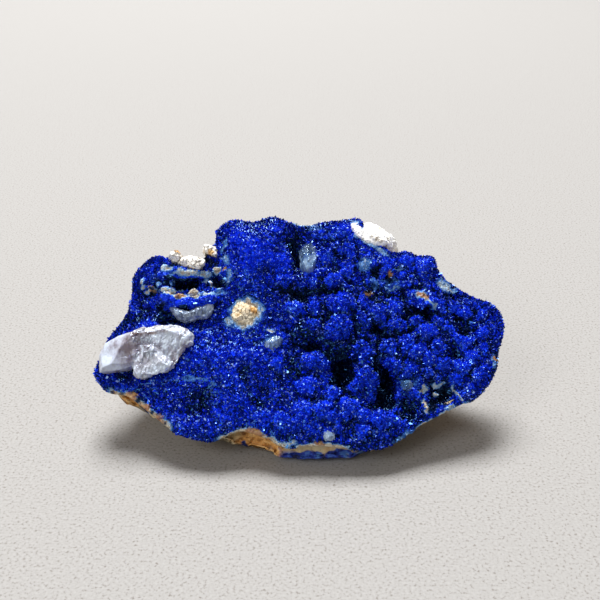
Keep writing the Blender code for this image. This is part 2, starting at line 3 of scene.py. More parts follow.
import bmesh
import bpy
import numpy as np
from bpy.props import FloatProperty, FloatVectorProperty, PointerProperty
from mathutils import Matrix, Vector


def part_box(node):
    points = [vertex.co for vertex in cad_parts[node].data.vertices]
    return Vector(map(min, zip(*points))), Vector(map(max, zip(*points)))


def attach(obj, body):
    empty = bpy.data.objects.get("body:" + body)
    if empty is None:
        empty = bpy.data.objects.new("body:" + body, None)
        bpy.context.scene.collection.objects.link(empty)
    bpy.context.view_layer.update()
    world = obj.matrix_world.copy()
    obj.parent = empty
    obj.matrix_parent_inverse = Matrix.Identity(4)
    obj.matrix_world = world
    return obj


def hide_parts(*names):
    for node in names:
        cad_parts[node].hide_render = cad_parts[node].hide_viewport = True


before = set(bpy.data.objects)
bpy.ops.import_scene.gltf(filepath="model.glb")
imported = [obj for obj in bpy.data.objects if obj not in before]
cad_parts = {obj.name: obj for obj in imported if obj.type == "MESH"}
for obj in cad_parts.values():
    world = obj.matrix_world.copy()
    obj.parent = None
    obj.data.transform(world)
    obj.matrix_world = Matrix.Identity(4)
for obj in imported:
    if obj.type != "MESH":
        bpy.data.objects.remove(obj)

bl_info = {
    "name": "Azurite specimen",
    "version": (1, 0, 0),
    "blender": (4, 5, 0),
    "location": "View3D > Sidebar > Azurite",
    "description": "Dresses a mineral specimen: blue azurite druse on stained rock, with crystals on it",
    "category": "Add Mesh",
}

# All tables are in millimetres and degrees.  The face is described over a slanted plane: u along
# the length, v up the slope, w straight out of the plane.
MM = 0.001                      # one millimetre, in metres
FACE_TILT = math.radians(32.0)  # slope of the crystal face
FACE_HEIGHT = 15.5              # height of the face plane's centre above the surface
GAP = 0.3                       # clearance between the crust and the rock
CRUST_MIN = 0.8                 # least thickness of the crust
CRUST_REACH = 2.0               # the rock keeps below the lowest crust this far around
RIM_DROOP = 3.0                 # power with which the face bends down to its rim
HALF_LENGTH, HALF_WIDTH = 35.0, 22.0
SOLID_CELLS_U, SOLID_CELLS_V = 50, 32   # cells of the solid crust's sheet
CROWDING = 0.16                 # how much closer the solids' cells lie towards the right-hand end
STRIP_MIN = 0.8                 # least height of the rock wall under the rim
WALL_ROWS = 4                   # rows of cells down the solid rock's wall
WALL_LEDGE = 0.045              # how deep the wall is broken back, as a share of the radius
ROUGH_SEED = 11                 # seed of the wall's broken faces

# Upper edge of the crust, once round from the right-hand end: u, v, w.
RIM = [
    (35.6, 2.8, -1.6), (35.6, 6.2, -1.4), (33.8, 8.4, -1.0), (30.9, 9.5, -0.8),
    (27.4, 11.7, -0.3), (25.1, 14.1, 0.0), (24.2, 17.4, 0.3), (21.3, 17.6, 0.3),
    (19.8, 18.5, 0.3), (16.6, 18.6, 0.2), (14.5, 20.4, 0.2), (12.2, 22.9, 0.2),
    (11.2, 25.8, 0.3), (7.1, 25.5, 0.3), (3.9, 25.1, 0.2), (1.1, 24.6, 0.0),
    (-2.2, 25.3, 0.2), (-5.2, 26.3, 0.5), (-8.6, 25.0, 0.6), (-12.1, 25.5, 0.6),
    (-13.8, 25.0, 0.4), (-15.4, 23.3, 0.2), (-15.6, 20.7, 0.0), (-16.9, 18.2, -0.4),
    (-18.4, 17.2, -0.8), (-20.4, 17.0, -1.0), (-22.6, 17.0, -0.9), (-24.6, 17.9, -0.8),
    (-26.5, 18.5, -1.0), (-28.4, 17.6, -1.6), (-30.0, 15.8, -2.2), (-30.6, 14.0, -2.6),
    (-30.5, 10.7, -3.0), (-31.3, 6.5, -3.0), (-33.6, 2.6, -3.0), (-34.4, -0.5, -2.8),
    (-35.2, -4.6, -2.6), (-33.7, -7.0, -2.4), (-31.8, -8.6, -2.2), (-29.1, -9.2, -2.0),
    (-25.3, -12.1, -1.8), (-21.4, -15.2, -1.6), (-18.5, -16.4, -1.5), (-15.8, -17.1, -1.5),
    (-13.0, -17.0, -1.4), (-11.1, -16.2, -1.2), (-9.0, -15.9, -1.2), (-5.2, -17.2, -1.2),
    (-2.9, -18.4, -1.2), (3.2, -18.4, -1.2), (7.3, -18.6, -1.3), (13.6, -18.3, -1.5),
    (19.2, -15.0, -1.5), (25.5, -11.6, -1.6), (29.1, -9.7, -1.8), (31.3, -7.7, -1.8),
    (33.4, -4.5, -1.8), (34.4, -0.4, -1.8),
]

# Broad swells and hollows of the face: u, v, reach along, reach across, turn, height.
WAVES = [
    (-8.4, 17.5, 5.5, 6.5, 0, 2.2), (-12.0, -3.0, 8.0, 5.0, 0, 0.7),
    (0.0, -14.6, 9.0, 2.6, 0, 0.8), (9.0, 3.5, 5.0, 4.0, 0, 1.0),
    (20.0, -1.0, 7.0, 4.0, -35, 1.0), (22.5, 15.0, 3.5, 2.5, 0, 0.9),
    (9.0, 21.5, 5.0, 3.5, 0, 0.8), (-26.4, 4.4, 1.6, 1.2, 0, 0.8),
    (-0.6, 18.5, 1.8, 4.5, 0, -1.8), (0.4, 9.8, 2.4, 1.5, 0, -2.0),
    (5.0, 9.6, 3.2, 1.0, 0, -1.7), (2.4, -1.0, 2.2, 1.1, -20, -2.2),
    (-1.4, -0.6, 1.3, 1.0, 0, -0.8), (7.2, -5.6, 1.9, 2.9, 0, -3.8),
    (14.4, -7.3, 1.5, 2.7, 10, -3.6), (14.2, -10.8, 1.8, 1.6, 0, -2.0),
    (18.0, -11.8, 2.2, 1.6, 0, -2.2), (12.5, 2.0, 0.9, 0.9, 0, -1.5),
    (14.4, 0.6, 1.2, 0.7, -30, -1.0), (18.8, 8.8, 2.8, 0.8, -12, -2.1),
    (14.8, 9.2, 2.4, 0.9, 0, -1.9), (21.9, 5.4, 2.0, 1.0, 0, -1.8),
    (27.6, 4.6, 0.8, 0.8, 0, -0.8), (28.4, 2.1, 0.8, 0.9, 0, -0.9),
    (26.4, -2.2, 0.9, 1.2, 0, -0.9), (12.4, 10.4, 1.2, 0.9, 0, -1.8),
    (13.6, 14.3, 0.9, 0.8, 0, -1.5), (16.3, 12.2, 0.8, 0.7, 0, -1.3),
    (23.0, -9.2, 2.2, 1.6, -30, -1.9), (22.2, -11.0, 0.9, 0.7, 0, -0.7),
    (24.6, -8.2, 0.9, 0.8, 0, -1.0), (-9.2, -6.2, 0.9, 2.2, 15, -0.7),
    (-7.0, -11.2, 1.8, 0.8, -25, -0.6), (-17.0, -11.8, 2.4, 2.2, -30, -1.1),
    (-23.4, 4.8, 2.6, 1.0, -10, -1.4), (-28.4, 9.4, 1.6, 3.6, 8, -1.6),
    (-29.6, -5.6, 1.6, 1.2, 0, -0.8), (-20.2, 12.3, 2.8, 1.2, 0, -3.0),
    (-14.8, 12.6, 1.5, 1.5, 0, -2.2), (-26.2, 11.9, 1.3, 1.4, -30, -1.6),
]

# Rounded knobs of the crust, each a cluster of small crystals: u, v, radius, height.
KNOBS = [
    (8.0, 22.6, 2.8, 1.0), (3.0, 23.0, 2.0, 0.7), (-4.4, 24.0, 2.0, 0.6), (-12.0, 22.0, 2.4, 0.5),
    (4.6, 17.6, 1.7, 0.6), (8.6, 18.2, 1.8, 0.7), (12.4, 16.6, 1.6, 0.6), (15.6, 16.2, 1.6, 0.7),
    (19.0, 16.4, 1.8, 0.9), (22.6, 15.0, 2.3, 0.9), (6.3, 12.0, 2.0, 1.2), (3.0, 11.8, 1.3, 0.7),
    (8.8, 14.4, 1.6, 0.7), (-2.6, 12.0, 1.6, 0.7), (7.5, 7.0, 2.8, 1.6), (2.5, 6.2, 1.4, 0.9),
    (-0.6, 6.6, 1.7, 0.8), (6.3, 2.3, 2.6, 1.4), (2.0, 3.0, 1.7, 0.9), (11.4, 7.0, 1.6, 0.9),
    (13.5, 5.1, 2.1, 1.2), (16.6, 6.0, 2.0, 1.1), (17.0, 2.8, 1.9, 1.1), (11.0, 3.6, 1.7, 1.0),
    (10.2, -1.6, 1.5, 1.2), (11.2, -3.1, 1.5, 1.4), (12.2, -4.4, 1.3, 1.2), (15.0, -1.4, 1.7, 0.9),
    (18.3, -1.4, 1.7, 1.1), (20.0, -2.4, 1.7, 1.1), (21.7, -3.4, 1.6, 1.0), (15.8, -4.6, 1.8, 0.8),
    (18.8, -5.2, 1.6, 0.8), (22.0, 1.6, 2.1, 1.1), (19.6, 3.8, 1.5, 0.9), (23.6, -1.2, 1.4, 0.8),
    (24.3, -4.4, 1.6, 0.9), (21.4, -5.8, 1.4, 0.8), (24.6, 4.0, 1.5, 0.9), (25.9, 2.6, 1.5, 0.9),
    (27.2, 1.2, 1.5, 0.9), (28.4, -0.2, 1.4, 0.8), (24.8, 7.4, 1.5, 0.8), (27.4, 7.2, 1.5, 0.8),
    (28.9, 5.7, 1.5, 0.8), (30.3, 4.2, 1.5, 0.8), (31.6, 2.6, 1.4, 0.7), (32.4, 6.0, 1.5, 0.6),
    (30.9, -1.0, 1.6, 0.7), (29.4, -2.8, 1.6, 0.8), (27.5, -4.6, 1.7, 0.8), (30.5, -5.2, 1.7, 0.7),
    (26.4, -6.8, 1.5, 0.7), (11.5, -6.9, 2.2, 2.2), (9.3, -8.0, 1.6, 1.3), (13.5, -14.4, 1.8, 1.1),
    (10.6, -13.4, 1.7, 0.8), (8.0, -12.2, 2.0, 1.0), (4.0, -12.6, 1.9, 0.8), (5.0, -9.8, 1.7, 0.9),
    (1.4, -8.6, 1.9, 0.8), (1.0, -4.4, 1.8, 1.0), (3.6, -3.6, 1.6, 0.9), (-3.4, -4.6, 1.6, 0.5),
    (0.6, -12.6, 1.8, 0.6), (10.6, -16.2, 1.6, 0.6), (-27.6, 15.6, 1.8, 0.6), (-18.2, 12.2, 1.3, 0.9),
]

# Broken ledges at the upper left: centre u, half length, front v, back v, bow, height.
LEDGES = [
    (-19.8, 5.2, 6.6, 9.2, 0.05, 1.8),
    (-21.8, 3.6, 13.1, 15.2, 0.02, 1.3),
    (21.6, 2.6, 6.9, 9.6, 0.08, 0.9),
]
LEDGE_EDGE = 0.35

# Bare rock that stands through the crust: u, v, w, half length, half width, half depth, turn and
# the seed of its corners.
BOSSES = {
    "face_boss": (-9.6, 5.6, -1.0, 2.9, 3.2, 2.2, 20, 3),
    "shoulder_boss": (14.6, 21.7, -1.8, 6.0, 3.3, 3.1, -43, 5),
    "notch_block": (-19.3, 16.2, -0.8, 3.4, 2.1, 2.1, -6, 7),
    "notch_wedge": (-16.2, 18.9, -1.0, 2.5, 1.6, 2.4, -58, 9),
    "notch_chip": (-22.7, 17.2, -1.1, 1.6, 1.2, 1.9, 25, 12),
}
BOSS_POINTS = 26                # corners scattered over each boss and lump
HULL_SHARPNESS = 14.0           # how crisp the edges between a lump's faces are

# Angular lumps grown on the crust, the edges of the broken ledges and a lip at the right, with
# the same columns.
LUMPS = {
    "ledge_left": (-23.1, 8.4, 0.3, 2.3, 1.2, 1.3, -24, 21),
    "ledge_middle": (-19.8, 7.5, 0.4, 2.5, 1.2, 1.3, 0, 22),
    "ledge_right": (-16.6, 8.2, 0.4, 2.3, 1.2, 1.2, 24, 23),
    "shelf_left": (-23.4, 13.8, -0.5, 2.0, 1.0, 1.0, -20, 24),
    "shelf_right": (-19.7, 13.3, -0.6, 2.6, 0.9, 1.0, 3, 25),
    "right_lip": (21.8, 8.3, 0.2, 2.6, 1.1, 1.1, -34, 26),
}

# Facets of the underside: direction the facet faces in plan, distance at which it leaves the
# surface, and its rise per millimetre.
UNDER_FACETS = [
    (270, 12.0, 0.39), (320, 14.3, 0.62), (20, 17.2, 0.78), (50, 18.5, 0.85),
    (90, 12.5, 0.90), (128, 18.5, 0.66), (180, 16.0, 0.45), (228, 10.6, 0.42),
]

# Crystals, each a low roof over an outline.  Middle: the point u, v that its rings close in on.
# Edge and foot: height of the upper and lower edge at the middle, and its rise for each
# millimetre along u.  Outline: its corners, anticlockwise.  Ridges: u, v, w of both ends.
CRYSTALS = {
    "large_crystal": {
        "middle": (-26.4, -1.7), "edge": (0.2, 0.06), "foot": (-1.7, 0.09),
        "outline": [(-33.8, -5.7), (-30.2, -5.2), (-28.2, -4.6), (-28.0, -6.1), (-27.4, -7.0),
                    (-26.2, -7.0), (-24.3, -6.3), (-22.6, -6.0), (-21.4, -4.9), (-20.5, -3.6),
                    (-19.6, -1.5), (-18.2, -0.7), (-18.2, 0.9), (-19.0, 2.0), (-20.7, 2.8),
                    (-24.0, 3.0), (-27.3, 2.7), (-29.9, 1.7), (-32.0, 0.8), (-33.8, -0.6),
                    (-34.3, -2.6)],
        "ridges": [(-28.6, -0.2, 2.3, -30.0, -1.7, 2.2), (-30.0, -1.7, 2.2, -31.5, -4.8, 1.6),
                   (-28.1, 0.3, 2.3, -23.2, 1.1, 2.5), (-23.2, 1.1, 2.5, -19.3, 0.2, 1.8),
                   (-26.4, -1.7, 1.9, -26.6, -6.0, 1.2), (-25.6, -1.9, 1.9, -23.1, -4.8, 1.3)],
    },
    "ledge_crystal": {
        "middle": (-19.2, 5.1), "edge": (0.1, 0.03), "foot": (-1.5, 0.10),
        "outline": [(-18.9, 4.1), (-17.7, 4.6), (-16.3, 4.7), (-15.5, 5.4), (-15.1, 6.3),
                    (-15.2, 7.4), (-15.9, 7.7), (-16.8, 7.4), (-18.2, 6.6), (-19.7, 5.9),
                    (-21.5, 6.6), (-23.3, 7.2), (-22.8, 6.2), (-22.0, 5.4), (-21.1, 4.5),
                    (-20.0, 4.0)],
        "ridges": [(-22.4, 6.4, 0.6, -20.0, 4.9, 1.0), (-20.0, 4.9, 1.0, -17.8, 5.6, 1.2),
                   (-17.8, 5.6, 1.2, -15.9, 6.9, 0.9)],
    },
    "blade_crystal": {
        "middle": (1.4, 17.3), "edge": (-0.1, 0.30), "foot": (-1.15, 0.10),
        "outline": [(1.2, 13.4), (2.4, 14.1), (2.9, 15.9), (3.1, 17.4), (2.9, 19.4), (2.2, 20.6),
                    (1.4, 20.4), (0.4, 20.1), (-0.1, 19.0), (-0.1, 17.0), (0.0, 15.1)],
        "ridges": [(1.2, 19.3, 1.2, 1.5, 15.0, 1.4)],
    },
    "centre_crystal": {
        "middle": (-4.5, -0.4), "edge": (0.45, 0.0), "foot": (-0.5, 0.0),
        "outline": [(-4.8, -1.8), (-3.6, -1.4), (-2.9, -0.6), (-2.9, 0.2), (-3.5, 0.9),
                    (-4.5, 1.0), (-5.5, 0.2), (-6.4, -0.8), (-5.9, -1.4)],
        "ridges": [(-5.2, -0.7, 1.0, -3.7, 0.0, 1.2)],
    },
    "front_crystal": {
        "middle": (4.7, -17.0), "edge": (-0.4, -0.10), "foot": (-1.6, 0.0),
        "outline": [(4.1, -17.9), (5.1, -17.8), (5.8, -17.3), (5.6, -16.7), (5.0, -16.1),
                    (4.3, -15.9), (3.7, -16.5), (3.7, -17.3)],
        "ridges": [(4.4, -16.6, 0.5, 4.9, -17.4, 0.3)],
    },
    "right_crystal": {
        "middle": (17.9, -8.1), "edge": (-0.25, 0.0), "foot": (-1.5, 0.0),
        "outline": [(17.3, -9.0), (18.1, -9.2), (18.7, -8.8), (18.9, -7.9), (18.5, -7.2),
                    (17.7, -7.1), (16.9, -7.4), (17.0, -8.4)],
        "ridges": [(17.5, -8.3, 0.6, 18.3, -7.9, 0.8)],
    },
}
ROOF_SLOPE = 0.42               # fall of a crystal's top for each millimetre from its ridges
BROW_SLOPE = 1.6                # steepest rise of a crystal's top from its edge
FOOT_SHARE = 0.86               # size of a crystal's foot beside its outline
SOCKET_BOTTOM = -7.0            # below everything

# The raster that holds the heights of the dressed crust.
RASTER_LOW, RASTER_HIGH, RASTER_STEP = (-38.0, -21.0), (38.0, 29.0), 0.1
NEAR_CELLS, WIDE_CELLS = 7, 26  # reach of the averages that tell a knob from a hollow

# The dressed crust: its sheet, its side band and its hidden inside.
SHEET_U, SHEET_V = 310, 220     # cells of the sheet
SHEET_CROWDING = 0.10           # how much closer they lie towards the right-hand end
BAND_ROWS = 5                   # rows down the side band
THIN_RIM = 0.3                  # thickness of the crust over a bare stretch of the rim
INSIDE_SHARES = [0.96, 0.92, 0.86, 0.66, 0.44, 0.2]     # rings of the inside, as shares of the radius
INSIDE_DEPTH = 1.9              # the outermost inside rings lie at most this far under the crust
SEAM = 0.05                     # how far hidden surfaces lie under the solids' own

# The small azurite crystals.
DRUSE_SPACING = 0.165
DRUSE_LENGTH = 0.17             # middle length
DRUSE_SHORTEST, DRUSE_LONGEST = 0.08, 0.42
DRUSE_SPREAD = 0.40             # spread of the lengths, as a logarithm
DRUSE_LEAN = 0.42               # how far they tip away from the surface's normal
DRUSE_PIECES = 5                # meshes they are joined into
DRUSE_SEED = 5
EDGE_CRYSTALS = 9000            # crystals on the side band

# The dressed rock's grid.
ROCK_COLUMNS = 760
ROCK_TOP_ROWS, ROCK_WALL_ROWS, ROCK_UNDER_ROWS = 22, 44, 50

# Where the crust thins out and turns pale: u, v, reach along, reach across, turn, strength.
PALE_SPOTS = [
    (-9.5, 5.5, 3.05, 3.2, 0, 1.0), (-12.3, 4.2, 0.9, 1.2, 0, 0.6), (-9.4, 8.3, 1.0, 0.5, 0, 0.6),
    (-5.2, 2.0, 0.9, 0.6, 0, 0.9), (-4.7, -0.1, 2.1, 1.5, 0, 0.42),
    (-23.6, 9.6, 1.5, 0.7, -20, 0.95), (-21.2, 8.9, 1.5, 0.9, 0, 1.0), (-18.8, 9.0, 1.5, 0.8, 0, 0.95),
    (-15.9, 9.2, 1.8, 0.7, 12, 0.62), (-24.2, 15.2, 1.3, 1.0, 0, 0.75), (-20.8, 14.0, 2.8, 0.7, 0, 0.78),
    (-17.2, 14.2, 1.2, 0.6, 0, 0.7), (-15.0, 14.8, 0.9, 0.5, 0, 0.9), (-13.2, 16.4, 0.9, 1.0, 20, 0.6),
    (-12.9, 13.0, 0.7, 1.6, 0, 0.5), (-14.2, 10.2, 1.2, 0.5, 0, 0.5), (-15.9, 12.0, 0.5, 0.5, 0, 0.95),
    (-14.0, 19.8, 0.5, 2.0, -15, 0.5), (-13.6, 17.0, 0.5, 1.0, 0, 0.6), (-17.0, 13.2, 0.5, 0.6, 0, 0.6),
    (-28.4, 12.9, 0.6, 0.8, 0, 0.75), (-27.5, 11.5, 0.5, 0.5, 0, 0.9), (-26.6, 11.9, 0.7, 0.6, 0, 0.9),
    (-25.4, 12.0, 0.5, 0.6, 0, 0.5), (-23.1, 11.6, 0.6, 0.5, 0, 0.55), (-22.0, 11.2, 0.9, 0.4, 0, 0.5),
    (-17.4, -6.9, 2.7, 0.35, -12, 0.42), (-14.8, -7.5, 0.8, 0.3, -10, 0.4),
    (10.5, 23.2, 0.9, 2.4, 10, 0.70), (12.4, 20.9, 2.4, 0.8, -43, 0.7), (15.0, 18.6, 2.0, 0.6, -43, 0.6),
    (11.8, 15.6, 1.2, 1.6, 0, 0.5), (0.9, 25.0, 2.2, 0.8, 0, 0.9), (16.5, 11.6, 1.9, 1.5, 0, 0.30),
    (13.3, 11.8, 1.2, 1.2, 0, 0.32), (16.6, 10.6, 1.4, 0.4, 0, 0.5), (26.2, 11.2, 2.0, 0.8, -45, 0.7),
    (21.6, 9.6, 1.0, 0.5, -30, 0.55), (23.6, 7.2, 0.8, 0.4, -34, 0.6), (21.9, 8.2, 1.6, 0.6, -34, 0.75),
    (20.9, -11.2, 0.4, 1.6, 25, 1.0), (21.0, -8.5, 0.9, 0.4, 20, 0.8), (23.4, -7.4, 1.2, 0.35, 0, 0.8),
    (25.9, -8.6, 0.3, 1.0, 0, 0.7), (24.8, -11.6, 1.1, 0.3, 30, 0.7), (22.8, -9.2, 0.3, 0.8, 40, 0.85),
    (26.8, -9.6, 1.4, 0.35, -45, 0.8), (-2.0, -18.1, 1.4, 0.5, 0, 0.8), (17.0, -16.6, 2.6, 0.5, 30, 0.42),
    (33.4, -3.0, 0.5, 1.5, 0, 0.5), (18.4, -7.6, 2.0, 1.2, 0, 0.25), (5.6, 17.2, 1.6, 1.0, 0, 0.2),
    (7.0, 22.6, 2.4, 1.2, 0, 0.16), (3.0, 23.8, 2.0, 0.8, 0, 0.3), (18.0, 14.6, 0.9, 0.3, 20, 0.5),
]

# Rusty stains of the crust's thin places, same columns.
RUST_SPOTS = [
    (-28.6, -9.3, 1.3, 0.8, -32, 1.0), (-26.0, -11.5, 0.9, 0.6, -40, 0.9),
    (-23.6, -13.4, 0.9, 0.7, -40, 0.8), (-31.4, -8.6, 0.6, 0.5, -30, 0.7),
    (-7.4, -16.3, 1.8, 0.8, -16, 0.9), (-4.6, -17.8, 1.2, 0.6, -30, 0.9), (3.2, -18.3, 1.3, 0.4, 0, 0.6),
    (-21.2, 8.8, 0.9, 0.6, 0, 1.0), (16.3, 13.6, 0.7, 0.3, 0, 1.0), (12.3, 9.8, 0.8, 0.6, 0, 0.6),
    (-26.4, 11.7, 0.5, 0.5, 0, 0.9), (21.9, 8.7, 1.1, 0.8, -34, 0.75), (1.0, 25.3, 0.8, 0.5, 0, 0.9),
    (-13.6, 14.5, 0.7, 0.25, 40, 0.8), (33.5, -2.4, 0.4, 0.5, 0, 0.9), (-22.4, 9.6, 0.7, 0.3, 0, 0.4),
]

# Near-black spots of the crust: painted shade in hollows, pits and gaps, the painted shadow under the large
# crystal's lower edge, and dark specks along the lower-left rim, same columns.
DARK_SPOTS = [
    (-16.2, 16.2, 0.5, 1.1, 0, 1.0), (-21.8, 15.6, 0.4, 0.8, 0, 0.9),
    (-27.3, -10.4, 0.5, 0.5, 0, 0.9), (-17.3, 17.3, 0.8, 0.8, 0, 0.95), (-31.6, -8.5, 0.4, 0.4, 0, 0.8),
    (-24.8, -12.4, 0.4, 0.4, 0, 0.85), (-30.0, -8.8, 0.35, 0.3, 0, 0.7), (-22.4, -14.3, 0.5, 0.3, -30, 0.7),
    (-20.4, 12.0, 1.3, 1.0, 0, 1.0), (-14.8, 11.5, 0.8, 0.7, 0, 0.95), (-26.3, 11.0, 0.7, 0.8, 0, 0.9),
    (-15.2, 15.8, 0.5, 0.4, 0, 0.9), (-25.5, 13.2, 1.5, 0.5, -45, 0.7), (-22.8, 16.2, 1.1, 0.5, 0, 0.95),
    (-17.2, 18.8, 0.5, 1.0, 0, 0.8), (-24.5, 7.6, 1.2, 0.5, -30, 0.8), (-15.6, 12.9, 0.5, 0.4, 0, 0.6),
    (13.4, 13.8, 0.8, 0.6, 0, 0.9), (16.3, 11.8, 0.5, 0.4, 0, 0.9), (12.2, 10.0, 0.9, 0.7, 0, 0.5),
    (22.2, -11.3, 0.8, 1.3, -20, 1.0), (24.5, -9.1, 1.1, 1.1, 0, 1.0), (23.4, -10.3, 1.0, 0.8, 30, 1.0),
    (24.3, -10.6, 0.7, 0.6, 0, 0.8), (-30.0, -5.9, 2.0, 0.7, -14, 0.7),
]

# Painted shade in the deep places between the knobs, where the crystals are painted nearly black, and
# fainter painted shade over broad stretches of the face, same columns.
DEEP_SHADE_SPOTS = [
    (7.2, -4.4, 2.4, 4.0, 0, 0.80), (14.5, -8.8, 1.4, 4.4, -10, 0.80), (18.2, -13.2, 2.6, 1.4, 0, 0.9),
    (0.5, 1.6, 2.1, 1.8, 20, 0.8), (-1.0, -4.8, 1.4, 1.8, 0, 0.8), (12.7, -5.2, 1.0, 2.4, 10, 0.7),
    (5.0, -1.8, 1.4, 2.0, 0, 0.7), (20.1, 5.6, 3.4, 1.4, -25, 0.7), (12.0, 2.3, 1.5, 1.6, 0, 0.6),
    (27.8, 2.9, 1.0, 1.8, 0, 0.6), (-2.8, 10.8, 2.4, 1.4, 0, 0.7), (17.9, -8.4, 1.4, 1.6, 0, 0.6),
    (3.9, 12.2, 1.0, 1.8, 0, 0.7), (6.8, 9.9, 2.1, 1.2, 0, 0.7), (12.9, 9.7, 2.1, 1.0, -20, 0.8),
    (13.8, 14.2, 1.2, 1.0, 0, 0.8), (18.3, 9.4, 1.5, 1.0, -30, 0.6), (9.0, 5.1, 0.9, 1.8, 0, 0.5),
    (15.8, 0.2, 2.4, 1.0, -35, 0.5), (23.1, -1.9, 1.5, 1.0, -40, 0.5), (26.7, 8.7, 1.0, 1.6, 0, 0.5),
    (0.0, 9.6, 1.0, 1.6, 0, 0.5), (3.1, 4.6, 1.0, 1.2, 0, 0.5), (10.2, -2.1, 1.0, 1.2, 0, 0.5),
    (-8.9, -5.6, 1.2, 1.8, 30, 0.6), (-16.7, -9.6, 2.1, 1.8, 0, 0.35), (-6.3, -9.0, 1.0, 1.4, 0, 0.4),
    (-1.8, 20.0, 2.1, 2.0, 0, 0.5), (2.2, 22.9, 0.9, 1.6, 0, 0.4), (8.2, 18.4, 0.9, 2.0, 0, 0.4),
    (20.2, -6.4, 1.7, 1.2, -30, 0.5), (24.5, -6.5, 1.2, 1.2, 0, 0.35), (30.5, 5.0, 0.9, 1.8, 0, 0.5),
    (32.8, 0.2, 0.7, 2.0, 0, 0.45), (-30.2, 5.4, 2.4, 1.2, 0, 0.55), (-34.9, 6.9, 1.4, 1.0, 0, 0.3),
    (11.5, 2.0, 10.0, 11.0, 0, 0.30), (21.0, -0.9, 6.0, 9.0, 0, 0.14),
    (2.0, 21.0, 7.0, 4.5, 0, 0.20), (-22.0, 6.0, 5.0, 4.0, 30, 0.25),
]

# Swells that fill part of the grooves across the face: u, v, reach along u, reach along v, rise.
SWELLS = [
    (5.0, 9.6, 3.2, 1.0, 1.3), (0.4, 9.8, 2.2, 1.2, 1.0), (12.4, 10.4, 1.2, 0.9, 1.3),
    (14.8, 9.2, 2.4, 0.9, 1.5), (18.8, 8.8, 2.8, 0.8, 1.7), (8.6, 9.8, 1.2, 1.4, 0.6),
    (16.8, 10.2, 1.1, 1.3, 0.5), (2.6, 8.4, 1.2, 1.4, 0.5),
]

# Stretches of the front rim where the crust is a thin skin over bare rock: u, half width and how
# far in from the rim the skin is pale.
BARE_RIMS = [(-26.7, 5.6, 0.75), (-8.1, 5.3, 0.45), (3.6, 4.2, 0.35), (23.4, 4.6, 0.0)]

# Stains of bare rock standing through the crust: u, v, reach, reach, turn, strength.
BOSS_RUST = [
    (-7.9, 6.1, 0.9, 0.7, 0, 0.8), (-16.2, 18.2, 0.7, 0.5, 0, 0.7), (-22.3, 18.6, 0.8, 0.6, 0, 0.7),
    (-10.4, 3.2, 0.6, 0.4, 30, 0.4), (-19.6, 14.7, 1.8, 0.25, -20, 0.7),
]

# The bosses of the notch lie left of the first u, those of the shoulder right of the second.
NOTCH_END, SHOULDER_START = -14.0, 8.0

# Broken rock beside the bosses in the notch and on the shoulder, with the same columns.
NOTCH_PIECES = [
    (-19.0, 15.9, 0.2, 2.6, 1.5, 1.2, -8, 91), (-22.9, 18.0, 0.0, 1.2, 0.9, 0.9, 20, 92),
    (10.7, 23.0, 0.3, 2.3, 1.4, 1.4, -62, 93), (12.5, 21.0, 0.0, 2.4, 0.8, 1.1, -43, 94),
]

# Small broken pieces on the ledges, with the same columns.
CHIPS = [
    (-23.9, 10.3, 0.6, 0.9, 0.6, 0.6, 20, 61), (-22.6, 9.9, 0.9, 0.8, 0.5, 0.6, -10, 62),
    (-18.8, 9.2, 1.2, 1.0, 0.6, 0.6, 10, 63), (-17.1, 9.0, 1.0, 1.0, 0.5, 0.5, -8, 64),
    (-25.3, 12.0, -0.6, 0.6, 0.8, 0.6, 30, 65), (-22.9, 12.2, -0.2, 0.7, 0.6, 0.6, 0, 66),
    (-28.3, 13.0, -1.0, 0.6, 0.8, 0.5, 0, 67), (-26.8, 11.6, -1.1, 0.7, 0.4, 0.5, -40, 68),
    (-15.0, 14.9, 0.0, 1.0, 0.4, 0.5, 5, 69), (-16.2, 12.2, -0.5, 0.6, 0.5, 0.5, 0, 70),
    (-13.5, 14.6, 0.3, 0.9, 0.3, 0.4, 40, 71), (-13.6, 12.2, 0.2, 0.5, 0.9, 0.5, -20, 72),
    (-14.6, 10.3, 0.2, 0.8, 0.4, 0.5, 15, 73), (-21.3, 8.7, 0.9, 0.9, 0.5, 0.5, 0, 74),
    (-24.6, 15.2, -0.2, 0.8, 0.9, 0.6, 0, 75), (20.8, -11.4, -1.6, 0.4, 1.2, 0.7, 30, 76),
    (23.0, -9.3, -1.6, 0.4, 1.0, 0.6, 40, 77), (24.9, -11.4, -1.6, 1.1, 0.4, 0.6, 30, 78),
    (16.4, 13.7, -0.2, 0.7, 0.3, 0.4, 0, 79), (17.8, 12.6, -0.3, 0.3, 1.1, 0.5, 10, 80),
    (15.2, 12.0, -0.4, 0.35, 1.0, 0.5, -10, 81), (26.8, -9.7, -1.6, 1.2, 0.3, 0.4, -45, 82),
]

# Stains of the rock wall under the front rim: x, half width, low z, high z, strength.
WALL_RUST = [(-29.0, 1.6, 4.0, 9.5, 0.9), (-7.0, 3.6, 0.8, 5.6, 1.0), (-3.8, 1.4, 1.2, 4.6, 0.8),
             (5.4, 1.4, 2.2, 4.6, 0.35), (33.5, 1.5, 9.0, 14.0, 0.8), (29.0, 5.0, 4.0, 9.0, 0.7)]
WALL_BLUE = [(2.0, 6.4, -0.4, 2.6, 1.0), (9.0, 4.0, 0.6, 2.6, 0.8), (-9.3, 0.7, 1.5, 2.7, 0.8),
             (-26.6, 0.8, 4.5, 6.5, 0.7)]
WALL_DARK = [(10.4, 3.4, 2.2, 4.8, 0.75), (-26.8, 0.8, 4.5, 6.8, 0.7), (-9.0, 0.5, 1.7, 2.6, 0.6)]

